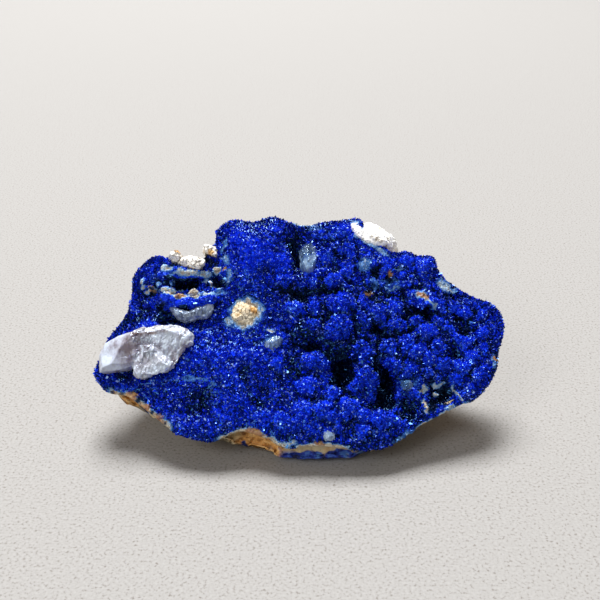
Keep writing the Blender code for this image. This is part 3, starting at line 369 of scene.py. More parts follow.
# Crystals: slot, how milky, the u from which they are frosty, depth of their relief, rows, columns.
CRYSTAL_LOOKS = {
    "large_crystal": ("large_crystal", 0.95, -28.4, 0.42, 120, 340),
    "ledge_crystal": ("ledge_crystal", 0.44, -24.0, 0.32, 70, 220),
    "blade_crystal": ("clear_crystal", 0.10, -1.0, 0.26, 60, 160),
    "centre_crystal": ("clear_crystal", 0.20, -8.0, 0.22, 50, 120),
    "front_crystal": ("clear_crystal", 0.34, 0.0, 0.24, 50, 110),
    "right_crystal": ("clear_crystal", 0.02, 10.0, 0.20, 50, 110),
}

# Rusty inclusions in the crystals: u, v, reach along, reach across, turn, strength.
CRYSTAL_RUST = [
    (-27.6, 0.4, 1.3, 0.35, -10, 0.85), (-25.4, 0.5, 1.5, 0.3, 5, 0.8), (-23.4, 0.9, 1.1, 0.35, 0, 0.6),
    (-25.9, -4.4, 1.5, 1.3, 0, 0.35), (-23.9, -3.9, 1.3, 1.1, 0, 0.32), (-24.5, 1.9, 4.6, 0.8, 4, 0.45),
    (-28.8, -2.2, 0.9, 2.2, 10, 0.25),
]


# ---------------------------------------------------------------- the shape, as in the solids
def rim_table():
    """Angle, radius and height along a closed Catmull-Rom curve through the rim points."""
    points = np.array(RIM)
    before, after = np.roll(points, 1, axis=0), np.roll(points, -1, axis=0)
    beyond = np.roll(points, -2, axis=0)
    rows = []
    for t in np.linspace(0.0, 1.0, 8, endpoint=False):
        rows.append(0.5 * (2.0 * points + (after - before) * t
                           + (2.0 * before - 5.0 * points + 4.0 * after - beyond) * t ** 2
                           + (3.0 * points - before - 3.0 * after + beyond) * t ** 3))
    curve = np.concatenate(rows)
    angle = np.arctan2(curve[:, 1], curve[:, 0]) % (2.0 * np.pi)
    order = np.argsort(angle)
    return angle[order], np.hypot(curve[:, 0], curve[:, 1])[order], curve[:, 2][order]


RIM_ANGLE, RIM_RADIUS, RIM_LEVEL = rim_table()


def rim_radius(angle):
    """Distance from the middle of the face to its rim in a direction."""
    return np.interp(angle % (2.0 * np.pi), RIM_ANGLE, RIM_RADIUS, period=2.0 * np.pi)


def rim_level(angle):
    """Height of the rim in a direction."""
    return np.interp(angle % (2.0 * np.pi), RIM_ANGLE, RIM_LEVEL, period=2.0 * np.pi)


def smooth_step(edge, x):
    """Rise from 0 to 1 as x goes from minus to plus the edge width."""
    t = np.clip(0.5 + 0.5 * x / edge, 0.0, 1.0)
    return t * t * (3.0 - 2.0 * t)


def turned_reach(u, v, cu, cv, along, across, turn):
    """Squared distance from a middle, counted in reaches along and across a turned axis."""
    c, s = math.cos(math.radians(turn)), math.sin(math.radians(turn))
    x, y = (u - cu) * c + (v - cv) * s, (v - cv) * c - (u - cu) * s
    return (x / along) ** 2 + (y / across) ** 2


def spots(u, v, table, power):
    """Largest of a table's bell-shaped spots at each point; a higher power makes flatter tops."""
    total = np.zeros_like(u)
    for cu, cv, along, across, turn, strength in table:
        reach = turned_reach(u, v, cu, cv, along, across, turn)
        total = np.maximum(total, strength * np.exp(-reach ** power))
    return total


def face_height(u, v):
    """Height of the crust as the solids have it: droop to the rim, waves, ledges and knobs."""
    angle = np.arctan2(v, u)
    share = np.minimum(np.hypot(u, v) / rim_radius(angle), 1.0)
    height = rim_level(angle) * share ** RIM_DROOP
    inward = 1.0 - share ** 8
    for cu, cv, along, across, turn, rise in WAVES:
        height = height + rise * inward * np.exp(-turned_reach(u, v, cu, cv, along, across, turn))
    for cu, half, front, back, bow, rise in LEDGES:
        line = front + bow * (u - cu) ** 2
        across = smooth_step(LEDGE_EDGE, v - line) * smooth_step(3 * LEDGE_EDGE, back - v)
        along = smooth_step(3 * LEDGE_EDGE, half - np.abs(u - cu))
        height = height + rise * along * across
    knobs = np.zeros_like(height)
    for cu, cv, radius, rise in KNOBS:
        reach = 1.0 - ((u - cu) ** 2 + (v - cv) ** 2) / radius ** 2
        knobs = np.maximum(knobs, rise * np.maximum(reach, 0.0) ** 0.8)
    return height + knobs * inward


def rock_height(u, v):
    """Height of the rock under the crust: below the lowest crust within reach."""
    lowest = face_height(u, v)
    for turn in np.arange(8) * np.pi / 4.0:
        for reach in (0.5 * CRUST_REACH, CRUST_REACH):
            lowest = np.minimum(lowest, face_height(u + reach * np.cos(turn),
                                                    v + reach * np.sin(turn)))
    return lowest - CRUST_MIN - GAP


def under_height(x, y):
    """Height of the underside: the resting facet at zero, the other facets rising outwards."""
    height = np.zeros_like(x)
    for turn, distance, slope in UNDER_FACETS:
        c, s = math.cos(math.radians(turn)), math.sin(math.radians(turn))
        height = np.maximum(height, slope * (x * c + y * s - distance))
    return height


def tilt(u, v, w):
    """Turn face coordinates into millimetres along X, Y and Z, before the origin is placed."""
    c, s = math.cos(FACE_TILT), math.sin(FACE_TILT)
    return np.stack([u, v * c - w * s, FACE_HEIGHT + v * s + w * c], axis=-1)


def roof_height(u, v, ridges):
    """Height of a crystal's top: the highest of the slopes that fall away from its ridges."""
    height = np.full(u.shape, SOCKET_BOTTOM)
    for u0, v0, w0, u1, v1, w1 in ridges:
        run_u, run_v = u1 - u0, v1 - v0
        along = ((u - u0) * run_u + (v - v0) * run_v) / (run_u ** 2 + run_v ** 2)
        along = np.clip(along, 0.0, 1.0)
        away = np.hypot(u - u0 - along * run_u, v - v0 - along * run_v)
        height = np.maximum(height, w0 + along * (w1 - w0) - ROOF_SLOPE * away)
    return height


def crystal_grid(block, columns, shares):
    """A crystal's top at shares of its outline, which is cut into even steps if columns are given."""
    corners = np.array(block["outline"]) - block["middle"]
    if columns:
        closed = np.concatenate([corners, corners[:1]])
        run = np.concatenate([[0.0], np.cumsum(np.hypot(*np.diff(closed, axis=0).T))])
        steps = np.linspace(0.0, run[-1], columns, endpoint=False)
        corners = np.stack([np.interp(steps, run, closed[:, k]) for k in (0, 1)], axis=-1)
    edge = block["edge"][0] + block["edge"][1] * corners[:, 0]
    u = block["middle"][0] + shares[:, None] * corners[None, :, 0]
    v = block["middle"][1] + shares[:, None] * corners[None, :, 1]
    brow = BROW_SLOPE * (1.0 - shares[:, None]) * np.hypot(corners[:, 0], corners[:, 1])
    return u, v, edge + np.clip(roof_height(u, v, block["ridges"]) - edge, 0.0, brow)


def find_shift():
    """Millimetres from the face's own origin to the row's: where a known crystal's edge lies."""
    u, v, w = crystal_grid(CRYSTALS["large_crystal"], 0, np.array([1.0]))
    low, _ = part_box("large_crystal")
    edge = tilt(u, v, w).reshape(-1, 3)
    return np.array([low[0] / MM - edge[:, 0].min(), low[1] / MM - edge[:, 1].min(), 0.0])


SHIFT = find_shift()


def to_room(u, v, w):
    """Turn face coordinates into millimetres in the row's frame."""
    return tilt(u, v, w) + SHIFT


# ---------------------------------------------------------------- fine relief
def cell_knobs(u, v, pitch, seed, roundness=0.5):
    """Knobs on a jittered grid: at each point the tallest of the nine nearest domes."""
    table = np.random.default_rng(seed).random((4, 64, 64))
    i, j = np.floor(u / pitch).astype(int), np.floor(v / pitch).astype(int)
    best = np.zeros_like(u)
    for di in (-1, 0, 1):
        for dj in (-1, 0, 1):
            ci, cj = i + di, j + dj
            a, b, c, d = table[:, ci % 64, cj % 64]
            cu, cv = (ci + 0.15 + 0.7 * a) * pitch, (cj + 0.15 + 0.7 * b) * pitch
            radius = pitch * (0.55 + 0.4 * c)
            reach = np.maximum(1.0 - ((u - cu) ** 2 + (v - cv) ** 2) / radius ** 2, 0.0)
            best = np.maximum(best, (0.4 + 0.6 * d) * reach ** roundness)
    return best


def value_noise(points, size, seed):
    """Smooth noise from -1 to 1: random values on a cubic grid of a size, eased between corners."""
    table = np.random.default_rng(seed).random((32, 32, 32)) * 2.0 - 1.0
    scaled = points / size
    cell = np.floor(scaled).astype(int)
    f = scaled - cell
    f = f * f * (3.0 - 2.0 * f)
    total = np.zeros(points.shape[:-1])
    for dx in (0, 1):
        for dy in (0, 1):
            for dz in (0, 1):
                weight = (np.abs(1 - dx - f[..., 0]) * np.abs(1 - dy - f[..., 1])
                          * np.abs(1 - dz - f[..., 2]))
                total += weight * table[(cell[..., 0] + dx) % 32, (cell[..., 1] + dy) % 32,
                                        (cell[..., 2] + dz) % 32]
    return total


def chipped_noise(points, size, seed):
    """Broken-rock relief from 0 to 1: each jittered cell is a flat chip tilted its own way."""
    table = np.random.default_rng(seed).random((3, 16, 16, 16, 3))
    centre, lean, lift = table[0], table[1] - 0.5, table[2][..., 0]
    scaled = points / size
    cell = np.floor(scaled).astype(int)
    nearest = np.full(points.shape[:-1], 9.0)
    value = np.zeros(points.shape[:-1])
    for dx in (-1, 0, 1):
        for dy in (-1, 0, 1):
            for dz in (-1, 0, 1):
                c = cell + np.array([dx, dy, dz])
                k = (c[..., 0] % 16, c[..., 1] % 16, c[..., 2] % 16)
                away = scaled - (c + centre[k])
                distance = (away ** 2).sum(axis=-1)
                here = 0.5 * lift[k] + 0.8 * (away * lean[k]).sum(axis=-1)
                value = np.where(distance < nearest, here, value)
                nearest = np.minimum(nearest, distance)
    return np.clip(value + 0.25, 0.0, 1.0)


def knobbliness(u, v):
    """How knobbly the crust is: smooth on the left and on the upper swell, rough on the right."""
    rough = 0.35 + 0.65 * smooth_step(6.0, u - 1.0)
    calm = np.exp(-((u + 8.4) / 6.0) ** 2 - ((v - 18.0) / 7.0) ** 2)
    return rough * (1.0 - 0.7 * calm)


def crust_height(u, v):
    """Height of the dressed crust: the solids' height with two sizes of small knobs and grain."""
    share = np.minimum(np.hypot(u, v) / rim_radius(np.arctan2(v, u)), 1.0)
    inward = 1.0 - share ** 16
    rough = knobbliness(u, v)
    flat = np.stack([u, v, np.zeros_like(u)], axis=-1)
    du = inward * (0.55 * value_noise(flat, 2.3, 25) + 0.25 * value_noise(flat, 0.9, 26))
    dv = inward * (0.55 * value_noise(flat, 2.3, 27) + 0.25 * value_noise(flat, 0.9, 28))
    small = cell_knobs(u + du, v + dv, 1.7, 21) * 0.70 + cell_knobs(u - dv, v + du, 0.8, 22) * 0.34
    uneven = 0.25 * value_noise(flat, 3.1, 23) + 0.12 * value_noise(flat, 0.5, 24)
    base = face_height(u + du, v + dv) + swells(u + du, v + dv)
    return base + inward * (rough * (small - 0.40) + uneven * (0.4 + 0.6 * rough))


def swells(u, v):
    """Extra height of the dressed crust from a few bell-shaped swells."""
    height = np.zeros_like(u)
    for cu, cv, along, across, rise in SWELLS:
        height = height + rise * np.exp(-((u - cu) / along) ** 2 - ((v - cv) / across) ** 2)
    return height


def blurred(table, reach):
    """A table averaged over a square of twice a reach of cells, twice over, by running sums."""
    for _ in range(2):
        for axis in (0, 1):
            padded = np.pad(table, [(reach + 1, reach) if k == axis else (0, 0) for k in (0, 1)], "edge")
            total = np.cumsum(padded, axis=axis)
            size = table.shape[axis]
            width = 2 * reach + 1
            high = np.take(total, np.arange(width, width + size), axis=axis)
            table = (high - np.take(total, np.arange(size), axis=axis)) / width
    return table


class Raster:
    """Heights of the dressed crust on a fine square raster, and how high each place stands out."""

    def __init__(self):
        u = np.arange(RASTER_LOW[0], RASTER_HIGH[0], RASTER_STEP)
        v = np.arange(RASTER_LOW[1], RASTER_HIGH[1], RASTER_STEP)
        self.height = crust_height(*np.meshgrid(u, v))
        near, wide = blurred(self.height, NEAR_CELLS), blurred(self.height, WIDE_CELLS)
        # The relief also sets the azurite's painted shade in hollows and its painted glints on raised
        # places.
        self.relief = (self.height - near) / 0.55 + (near - wide) / 1.5
        dv, du = np.gradient(self.height, RASTER_STEP)
        self.slope_u, self.slope_v = du, dv

    def read(self, table, u, v):
        """A table's value at points, bilinear between the raster's own."""
        x = np.clip((u - RASTER_LOW[0]) / RASTER_STEP, 0, table.shape[1] - 1.001)
        y = np.clip((v - RASTER_LOW[1]) / RASTER_STEP, 0, table.shape[0] - 1.001)
        i, j = x.astype(int), y.astype(int)
        fx, fy = x - i, y - j
        return ((table[j, i] * (1 - fx) + table[j, i + 1] * fx) * (1 - fy)
                + (table[j + 1, i] * (1 - fx) + table[j + 1, i + 1] * fx) * fy)

    def normals(self, u, v):
        """Unit normals in face coordinates."""
        du, dv = self.read(self.slope_u, u, v), self.read(self.slope_v, u, v)
        normal = np.stack([-du, -dv, np.ones_like(du)], axis=-1)
        return normal / np.linalg.norm(normal, axis=-1)[..., None]


def bare_stretch(u, v, middle, half):
    """1 along one bare stretch of the front rim, fading to 0 past its ends."""
    return smooth_step(0.8, half - np.abs(u - middle)) * (v < 0.0)


def bareness(u, v):
    """1 along the stretches of the front rim where bare rock comes up under a thin crust."""
    total = np.zeros_like(u)
    for middle, half, _ in BARE_RIMS:
        total = np.maximum(total, bare_stretch(u, v, middle, half))
    return total


def bare_skin(u, v, fray):
    """1 where the crust is pale close to the bare stretches of the rim."""
    room = rim_radius(np.arctan2(v, u)) - np.hypot(u, v)
    total = np.zeros_like(u)
    for middle, half, depth in BARE_RIMS:
        skin = smooth_step(0.30, depth + 0.5 * fray - room)
        total = np.maximum(total, bare_stretch(u, v, middle, half) * skin)
    return total


def deep_shade_mask(u, v):
    """Painted shade: 1 in the deep places between the knobs, with borders that wander round the knobs."""
    flat = np.stack([u, v, np.zeros_like(u)], axis=-1)
    du = 1.1 * value_noise(flat, 2.2, 36) + 0.4 * value_noise(flat, 0.8, 37)
    dv = 1.1 * value_noise(flat, 2.2, 38) + 0.4 * value_noise(flat, 0.8, 39)
    return spots(u + du, v + dv, DEEP_SHADE_SPOTS, 1.2)


def crust_masks(u, v):
    """Paleness, rust and darkness of the crust: spots with frayed borders; the darkness is mostly painted
    shade.
    """
    flat = np.stack([u, v, np.zeros_like(u)], axis=-1)
    du = 0.45 * value_noise(flat, 0.9, 31) + 0.2 * value_noise(flat, 0.35, 32)
    dv = 0.45 * value_noise(flat, 0.9, 33) + 0.2 * value_noise(flat, 0.35, 34)
    pale = np.maximum(spots(u + du, v + dv, PALE_SPOTS, 2.5), bare_skin(u, v, du))
    pale = pale * (1.0 + 0.25 * value_noise(flat, 0.6, 35))
    rust = spots(u + du, v + dv, RUST_SPOTS, 2.0)
    dark = spots(u + 0.7 * du, v + 0.7 * dv, DARK_SPOTS, 2.0)
    return np.clip(pale, 0, 1), np.clip(rust, 0, 1), np.clip(dark, 0, 1)


# ---------------------------------------------------------------- meshes
def build_mesh(name, points_mm, quads, triangles, smooth=True):
    """Make an object from whole arrays of points in millimetres, four-sided and three-sided faces."""
    mesh = bpy.data.meshes.new(name)
    points = np.asarray(points_mm, dtype=np.float32).reshape(-1, 3) * MM
    corner = np.concatenate([quads.reshape(-1), triangles.reshape(-1)]).astype(np.int32)
    size = np.repeat([4, 3], [quads.size // 4, triangles.size // 3]).astype(np.int32)
    mesh.vertices.add(len(points))
    mesh.vertices.foreach_set("co", points.reshape(-1))
    mesh.loops.add(len(corner))
    mesh.loops.foreach_set("vertex_index", corner)
    mesh.polygons.add(len(size))
    mesh.polygons.foreach_set("loop_start", np.concatenate([[0], np.cumsum(size)[:-1]]).astype(np.int32))
    mesh.polygons.foreach_set("loop_total", size)
    mesh.polygons.foreach_set("use_smooth", np.full(len(size), smooth))
    mesh.update()
    mesh.validate()
    obj = bpy.data.objects.new(name, mesh)
    bpy.context.scene.collection.objects.link(obj)
    return obj


def paint(obj, **values):
    """Store arrays of one number per vertex as attributes for the materials."""
    for name, value in values.items():
        attribute = obj.data.attributes.new(name, "FLOAT", "POINT")
        attribute.data.foreach_set("value", np.asarray(value, dtype=np.float32).reshape(-1))


def quads_between(index):
    """Four-sided faces between the neighbouring rows and columns of a grid of vertex numbers."""
    return np.stack([index[:-1, :-1], index[:-1, 1:], index[1:, 1:], index[1:, :-1]],
                    axis=-1).reshape(-1, 4)


def disc_grid(cells_u, cells_v, crowding):
    """Share of the radius and direction for a grid whose rings follow the rim."""
    along = np.linspace(-1, 1, cells_u + 1)
    along = along + crowding * (1.0 - along ** 2)
    a, b = np.meshgrid(along, np.linspace(-1, 1, cells_v + 1))
    wide = np.abs(a) > np.abs(b)
    major, minor = np.where(wide, a, b), np.where(wide, b, a)
    ratio = minor / np.where(major == 0, 1.0, major)
    turn = np.where(wide, ratio, 2.0 - ratio) * np.pi / 4.0 + np.where(major < 0, np.pi, 0.0)
    angle = np.arctan2(HALF_WIDTH * np.sin(turn), HALF_LENGTH * np.cos(turn))
    return np.abs(major), angle


def ring_of(cells_u, cells_v):
    """Indices of a grid's outermost vertices, once round anticlockwise."""
    index = np.arange((cells_u + 1) * (cells_v + 1)).reshape(cells_v + 1, cells_u + 1)
    return np.concatenate([index[0, :-1], index[:-1, -1], index[-1, :0:-1], index[:0:-1, 0]])


def hull_planes(corners):
    """Outward normals and distances of the faces of the convex solid round some corners."""
    bm = bmesh.new()
    for corner in corners:
        bm.verts.new(corner)
    bmesh.ops.convex_hull(bm, input=bm.verts)
    bmesh.ops.recalc_face_normals(bm, faces=bm.faces)
    normals = np.array([face.normal for face in bm.faces])
    offsets = np.array([face.normal.dot(face.verts[0].co) for face in bm.faces])
    bm.free()
    return normals, offsets


def scattered_corners(count, size, seed):
    """Corners scattered over a rounded block of the given half sizes, as in the solids."""
    rng = np.random.default_rng(seed)
    rays = rng.normal(size=(count, 3))
    rays /= np.linalg.norm(rays, axis=1)[:, None]
    rays *= 1.0 + 0.12 * rng.random((count, 1))
    return rays * np.array(size)


def sphere_rays(rows, columns):
    """Unit directions over a sphere, row by row from the lower pole to the upper one."""
    rise = np.linspace(-np.pi / 2, np.pi / 2, rows)[:, None]
    turn = np.linspace(0, 2 * np.pi, columns, endpoint=False)[None, :]
    return np.stack([np.cos(rise) * np.cos(turn), np.cos(rise) * np.sin(turn),
                     np.sin(rise) + 0 * turn], axis=-1)


def hull_surface(corners, rows, columns, relief, size, seed):
    """An angular lump about its own middle: rays cut off by the faces of a hull, then roughened.

    The length of each ray is a smooth minimum, over the hull's faces, of the face's offset over
    the ray's component along the face's normal; broken relief of a size is added along the ray.
    """
    normals, offsets = hull_planes(corners)
    rays = sphere_rays(rows, columns)
    along = np.maximum(rays @ normals.T, 1e-4)
    reach = ((offsets / along) ** -HULL_SHARPNESS).sum(axis=-1) ** (-1.0 / HULL_SHARPNESS)
    local = rays * reach[..., None]
    rough = (chipped_noise(local, size, seed) - 0.5) + 0.5 * value_noise(local, 0.35 * size, seed + 1)
    return local + rays * (relief * rough)[..., None]


def placed(local, centre, turn):
    """Turn local points about w and move them to a centre."""
    return local @ np.array(Matrix.Rotation(math.radians(turn), 3, "Z")).T + np.array(centre)


def as_list(grid):
    """A wrapped grid as a list of points, its first and last rows drawn together into poles."""
    middle = grid[1:-1].reshape(-1, *grid.shape[2:])
    return np.concatenate([grid[:1].mean(axis=1), middle, grid[-1:].mean(axis=1)])


def closed_faces(rows, columns):
    """Quads between the rings of a wrapped grid given as a list, and fans round its two poles."""
    ring = 1 + np.arange((rows - 2) * columns).reshape(-1, columns)
    ring = np.concatenate([ring, ring[:, :1]], axis=1)
    first, last = np.zeros(columns, dtype=int), np.full(columns, 1 + (rows - 2) * columns)
    fans = np.concatenate([np.stack([first, ring[0, 1:], ring[0, :-1]], axis=-1),
                           np.stack([ring[-1, :-1], ring[-1, 1:], last], axis=-1)])
    return quads_between(ring), fans


# ---------------------------------------------------------------- the small azurite crystals
# One crystal: a roof-shaped wedge of two slopes and two ends on a closed foot.
WEDGE_POINTS = np.array([
    (-0.5, -0.5, -0.7), (0.5, -0.5, -0.7), (0.5, 0.5, -0.7), (-0.5, 0.5, -0.7),
    (-0.36, 0.0, 1.0), (0.36, 0.0, 1.0)])
WEDGE_QUADS = np.array([(0, 1, 5, 4), (2, 3, 4, 5), (3, 2, 1, 0)])
WEDGE_TRIANGLES = np.array([(1, 2, 5), (3, 0, 4)])


def turned_frames(normals, lean, rng):
    """Three axes for each crystal: the normal tipped by a random lean and spun about itself."""
    count = len(normals)
    tip = normals + lean * rng.normal(size=(count, 3))
    tip /= np.linalg.norm(tip, axis=1)[:, None]
    side = np.cross(tip, rng.normal(size=(count, 3)))
    side /= np.linalg.norm(side, axis=1)[:, None]
    return side, np.cross(tip, side), tip


def wedge_mesh(name, points, normals, length, rng, lean, values):
    """Join one wedge for every point: each corner is the point plus its part of the three axes."""
    side, across, tip = turned_frames(normals, lean, rng)
    thin = length * (0.50 + 0.45 * rng.random(len(points)))
    tall = length * (0.70 + 0.6 * rng.random(len(points)))
    corners = (points[:, None, :]
               + WEDGE_POINTS[None, :, 0:1] * (side * length[:, None])[:, None, :]
               + WEDGE_POINTS[None, :, 1:2] * (across * thin[:, None])[:, None, :]
               + WEDGE_POINTS[None, :, 2:3] * (tip * tall[:, None])[:, None, :])
    first = (np.arange(len(points)) * len(WEDGE_POINTS))[:, None, None]
    obj = build_mesh(name, corners, WEDGE_QUADS[None] + first, WEDGE_TRIANGLES[None] + first, False)
    paint(obj, **{key: np.repeat(value, len(WEDGE_POINTS)) for key, value in values.items()})
    return obj


# ---------------------------------------------------------------- the crust
RASTER = Raster()


def rim_heights(angle):
    """Heights of the crust's edge and of the rock's edge under it, for directions."""
    u, v = rim_radius(angle) * np.cos(angle), rim_radius(angle) * np.sin(angle)
    upper = RASTER.read(RASTER.height, u, v)
    full = rock_height(u, v) + 0.5 * GAP
    bare = bareness(u, v)
    return upper, full * (1.0 - bare) + (upper - THIN_RIM) * bare


def crust_band(angle):
    """Rows of points in directions: down the side band, then in rings over the hidden inside.

    The band's height goes evenly from the crust's edge to the rock's edge.  The inside's is the
    rock's own, and near the rim at most a few millimetres under the crust.
    """
    upper, lower = rim_heights(angle)
    shares = np.concatenate([np.ones(BAND_ROWS), INSIDE_SHARES])[:, None]
    u, v = shares * rim_radius(angle) * np.cos(angle), shares * rim_radius(angle) * np.sin(angle)
    part = np.clip(np.arange(1, len(shares) + 1) / BAND_ROWS, 0.0, 1.0)[:, None]
    inside = rock_height(u, v) - SEAM
    shallow = np.maximum(inside, RASTER.read(RASTER.height, u, v) - INSIDE_DEPTH)
    inside = np.where(shares > 0.8, shallow, inside)
    w = np.where(shares < 1.0, inside, upper * (1.0 - part) + lower * part)
    return np.stack([u, v, w], axis=-1)


def crust_piece(name):
    """The druse's ground: a knobbly sheet over a disc grid, a side band and a closed inside.

    The sheet's points are the disc grid's shares and directions times the rim's radius, at the
    dressed crust's height; the band runs from the rim down to the rock and the inside follows the
    rock in rings to the middle.
    """
    share, angle = disc_grid(SHEET_U, SHEET_V, SHEET_CROWDING)
    radius = share * rim_radius(angle)
    u, v = radius * np.cos(angle), radius * np.sin(angle)
    w = RASTER.read(RASTER.height, u, v)
    ring = ring_of(SHEET_U, SHEET_V)
    band = crust_band(angle.reshape(-1)[ring])
    middle = np.array([[[0.0, 0.0, rock_height(np.zeros(1), np.zeros(1))[0] - SEAM]]])
    flat = np.concatenate([part.reshape(-1, 3) for part in (np.stack([u, v, w], axis=-1), band, middle)])
    rows = np.concatenate([ring[None, :], u.size + np.arange(band[..., 0].size).reshape(band.shape[:2])])
    rows = np.concatenate([rows, rows[:, :1]], axis=1)
    sheet = np.arange(u.size).reshape(u.shape)
    quads = np.concatenate([quads_between(sheet), quads_between(rows)[:, ::-1]])
    fan = np.stack([rows[-1, 1:], rows[-1, :-1], np.full(len(ring), len(flat) - 1)], axis=-1)
    obj = build_mesh(name, to_room(flat[:, 0], flat[:, 1], flat[:, 2]), quads, fan)
    paint(obj, tint=np.full(len(flat), 0.25), **azurite_values(flat[:, 0], flat[:, 1]))
    return obj


def azurite_values(u, v):
    """The masks and the relief of the crust at points, as attributes for its material; the relief and the
    deep places carry painted shade, the relief also painted glints.
    """
    pale, rust, dark = crust_masks(u, v)
    relief = np.clip(0.5 + 0.5 * RASTER.read(RASTER.relief, u, v), 0.0, 1.0)
    return {"pale": pale, "rust": rust, "dark": dark, "relief": relief, "deep_shade": deep_shade_mask(u, v)}


def turn_to_room(vectors):
    """Turn directions in face coordinates into the row's frame."""
    c, s = math.cos(FACE_TILT), math.sin(FACE_TILT)
    return np.stack([vectors[..., 0], vectors[..., 1] * c - vectors[..., 2] * s,
                     vectors[..., 1] * s + vectors[..., 2] * c], axis=-1)


def druse_points(spacing, rng):
    """Jittered points of a triangular grid inside the rim, thinned out where the crust is pale."""
    across = np.arange(-HALF_LENGTH - 2.0, HALF_LENGTH + 2.0, spacing)
    along = np.arange(-20.0, 28.0, spacing * 0.866)
    u, v = np.meshgrid(across, along)
    u = u + (np.arange(len(along)) % 2)[:, None] * spacing / 2.0
    u = (u + spacing * 0.35 * rng.normal(size=u.shape)).reshape(-1)
    v = (v + spacing * 0.35 * rng.normal(size=v.shape)).reshape(-1)
    inside = np.hypot(u, v) < rim_radius(np.arctan2(v, u)) - 0.05
    u, v = u[inside], v[inside]
    pale, rust, _ = crust_masks(u, v)
    keep = rng.random(len(u)) > np.clip((pale - 0.7) * 2.0, 0.0, 0.6)
    keep &= rng.random(len(u)) > 0.9 * rust
    return u[keep], v[keep]


def edge_points(rng):
    """Points and outward directions scattered over the crust's side band."""
    angle = 2.0 * np.pi * rng.random(EDGE_CRYSTALS)
    upper, lower = rim_heights(angle)
    u, v = rim_radius(angle) * np.cos(angle), rim_radius(angle) * np.sin(angle)
    w = upper + (lower - upper) * rng.random(EDGE_CRYSTALS)
    away = np.stack([np.cos(angle), np.sin(angle), 0.35 + 0.0 * angle], axis=-1)
    keep = rng.random(EDGE_CRYSTALS) > bareness(u, v)
    return u[keep], v[keep], w[keep], away[keep]


def druse_pieces(rng):
    """The small crystals of the face and its edge, joined into a few pieces along the length."""
    u, v = druse_points(DRUSE_SPACING, rng)
    w, normals = RASTER.read(RASTER.height, u, v), RASTER.normals(u, v)
    eu, ev, ew, away = edge_points(rng)
    u, v, w = np.concatenate([u, eu]), np.concatenate([v, ev]), np.concatenate([w, ew])
    normals = np.concatenate([normals, away / np.linalg.norm(away, axis=1)[:, None]])
    values = azurite_values(u, v)
    values["tint"] = rng.random(len(u))
    length = DRUSE_LENGTH * np.exp(DRUSE_SPREAD * rng.normal(size=len(u)))
    length = np.clip(length, DRUSE_SHORTEST, DRUSE_LONGEST) * (1.0 - 0.3 * values["pale"])
    pieces = []
    for number, part in enumerate(np.array_split(np.argsort(u), DRUSE_PIECES)):
        pieces.append(wedge_mesh(f"druse_{number + 1}", to_room(u[part], v[part], w[part]),
                                 turn_to_room(normals[part]), length[part], rng, DRUSE_LEAN,
                                 {key: value[part] for key, value in values.items()}))
    return pieces


# ---------------------------------------------------------------- lumps and bosses
def grid_normals(points):
    """Unit normals of a closed grid of points wrapped along its second axis."""
    down = np.gradient(points, axis=0)
    right = np.roll(points, -1, axis=1) - np.roll(points, 1, axis=1)
    normal = np.cross(right, down)
    size = np.linalg.norm(normal, axis=-1)[..., None]
    return normal / np.maximum(size, 1e-9)


def lump_surface(block, rows, columns, relief, size):
    """One angular lump of a table in face coordinates."""
    u, v, w, length, width, depth, turn, seed = block
    corners = scattered_corners(BOSS_POINTS, (length, width, depth), seed)
    local = hull_surface(corners.tolist(), rows, columns, relief, size, seed + 50)
    return placed(local, (u, v, w), turn)


def crystal_surface(block, rows, columns, frosty_from, relief, seed):
    """A crystal as one closed grid in face coordinates, and how frosty it is at each point.

    Rows are shares of the outline: up from 0 over the foot's plane, straight up the wall to the
    edge, then back to 0 over the roof of its ridges.  Flat chips, grooves that run up the slope
    and fine frost are added along the normals; the frost is cubic noise of two sizes.
    """
    under = np.concatenate([np.linspace(0.0, FOOT_SHARE, rows // 8), np.ones(rows // 6)])
    over = np.linspace(1.0, 0.0, rows - len(under))
    u, v, w = crystal_grid(block, columns, np.concatenate([under, over]))
    part = np.linspace(0.0, 1.0, rows // 6 + 1)[:-1, None]
    first, last = rows // 8, len(under)
    u[first:last] = u[first - 1] + (u[last] - u[first - 1]) * part
    v[first:last] = v[first - 1] + (v[last] - v[first - 1]) * part
    w[:first] = block["foot"][0] + block["foot"][1] * (u[:first] - block["middle"][0])
    w[first:last] = w[first - 1] + (w[last] - w[first - 1]) * part
    points = np.stack([u, v, w], axis=-1)
    frost = smooth_step(1.6, u + 0.6 * value_noise(points, 1.5, seed) - frosty_from)
    chips = chipped_noise(points, 1.5, seed + 1) - 0.5
    small = chipped_noise(points * np.array([1.0, 0.55, 1.0]), 0.55, seed + 2) - 0.5
    fine = value_noise(points * np.array([1.0, 0.4, 1.0]), 0.25, seed + 3)
    height = relief * (chips * (0.35 + 0.65 * frost) + frost * (0.75 * small + 0.18 * fine))
    points = points + grid_normals(points) * height[..., None]
    return points, frost


def join_grids(name, grids):
    """Join several closed grids of the same shape, given in the row's frame, into one object."""
    quads, fans = closed_faces(*grids[0].shape[:2])
    points = [as_list(grid) for grid in grids]
    steps = (np.arange(len(grids)) * len(points[0]))[:, None, None]
    return build_mesh(name, np.concatenate(points), quads[None] + steps, fans[None] + steps)


# ---------------------------------------------------------------- the rock
def broken_faces(count, rng):
    """Values from 0 to 1 round a ring, straight between every few, as in the solids."""
    corners = np.arange(0, count + 1, 4)
    values = rng.random(len(corners))
    values[-1] = values[0]
    return np.interp(np.arange(count), corners, values)


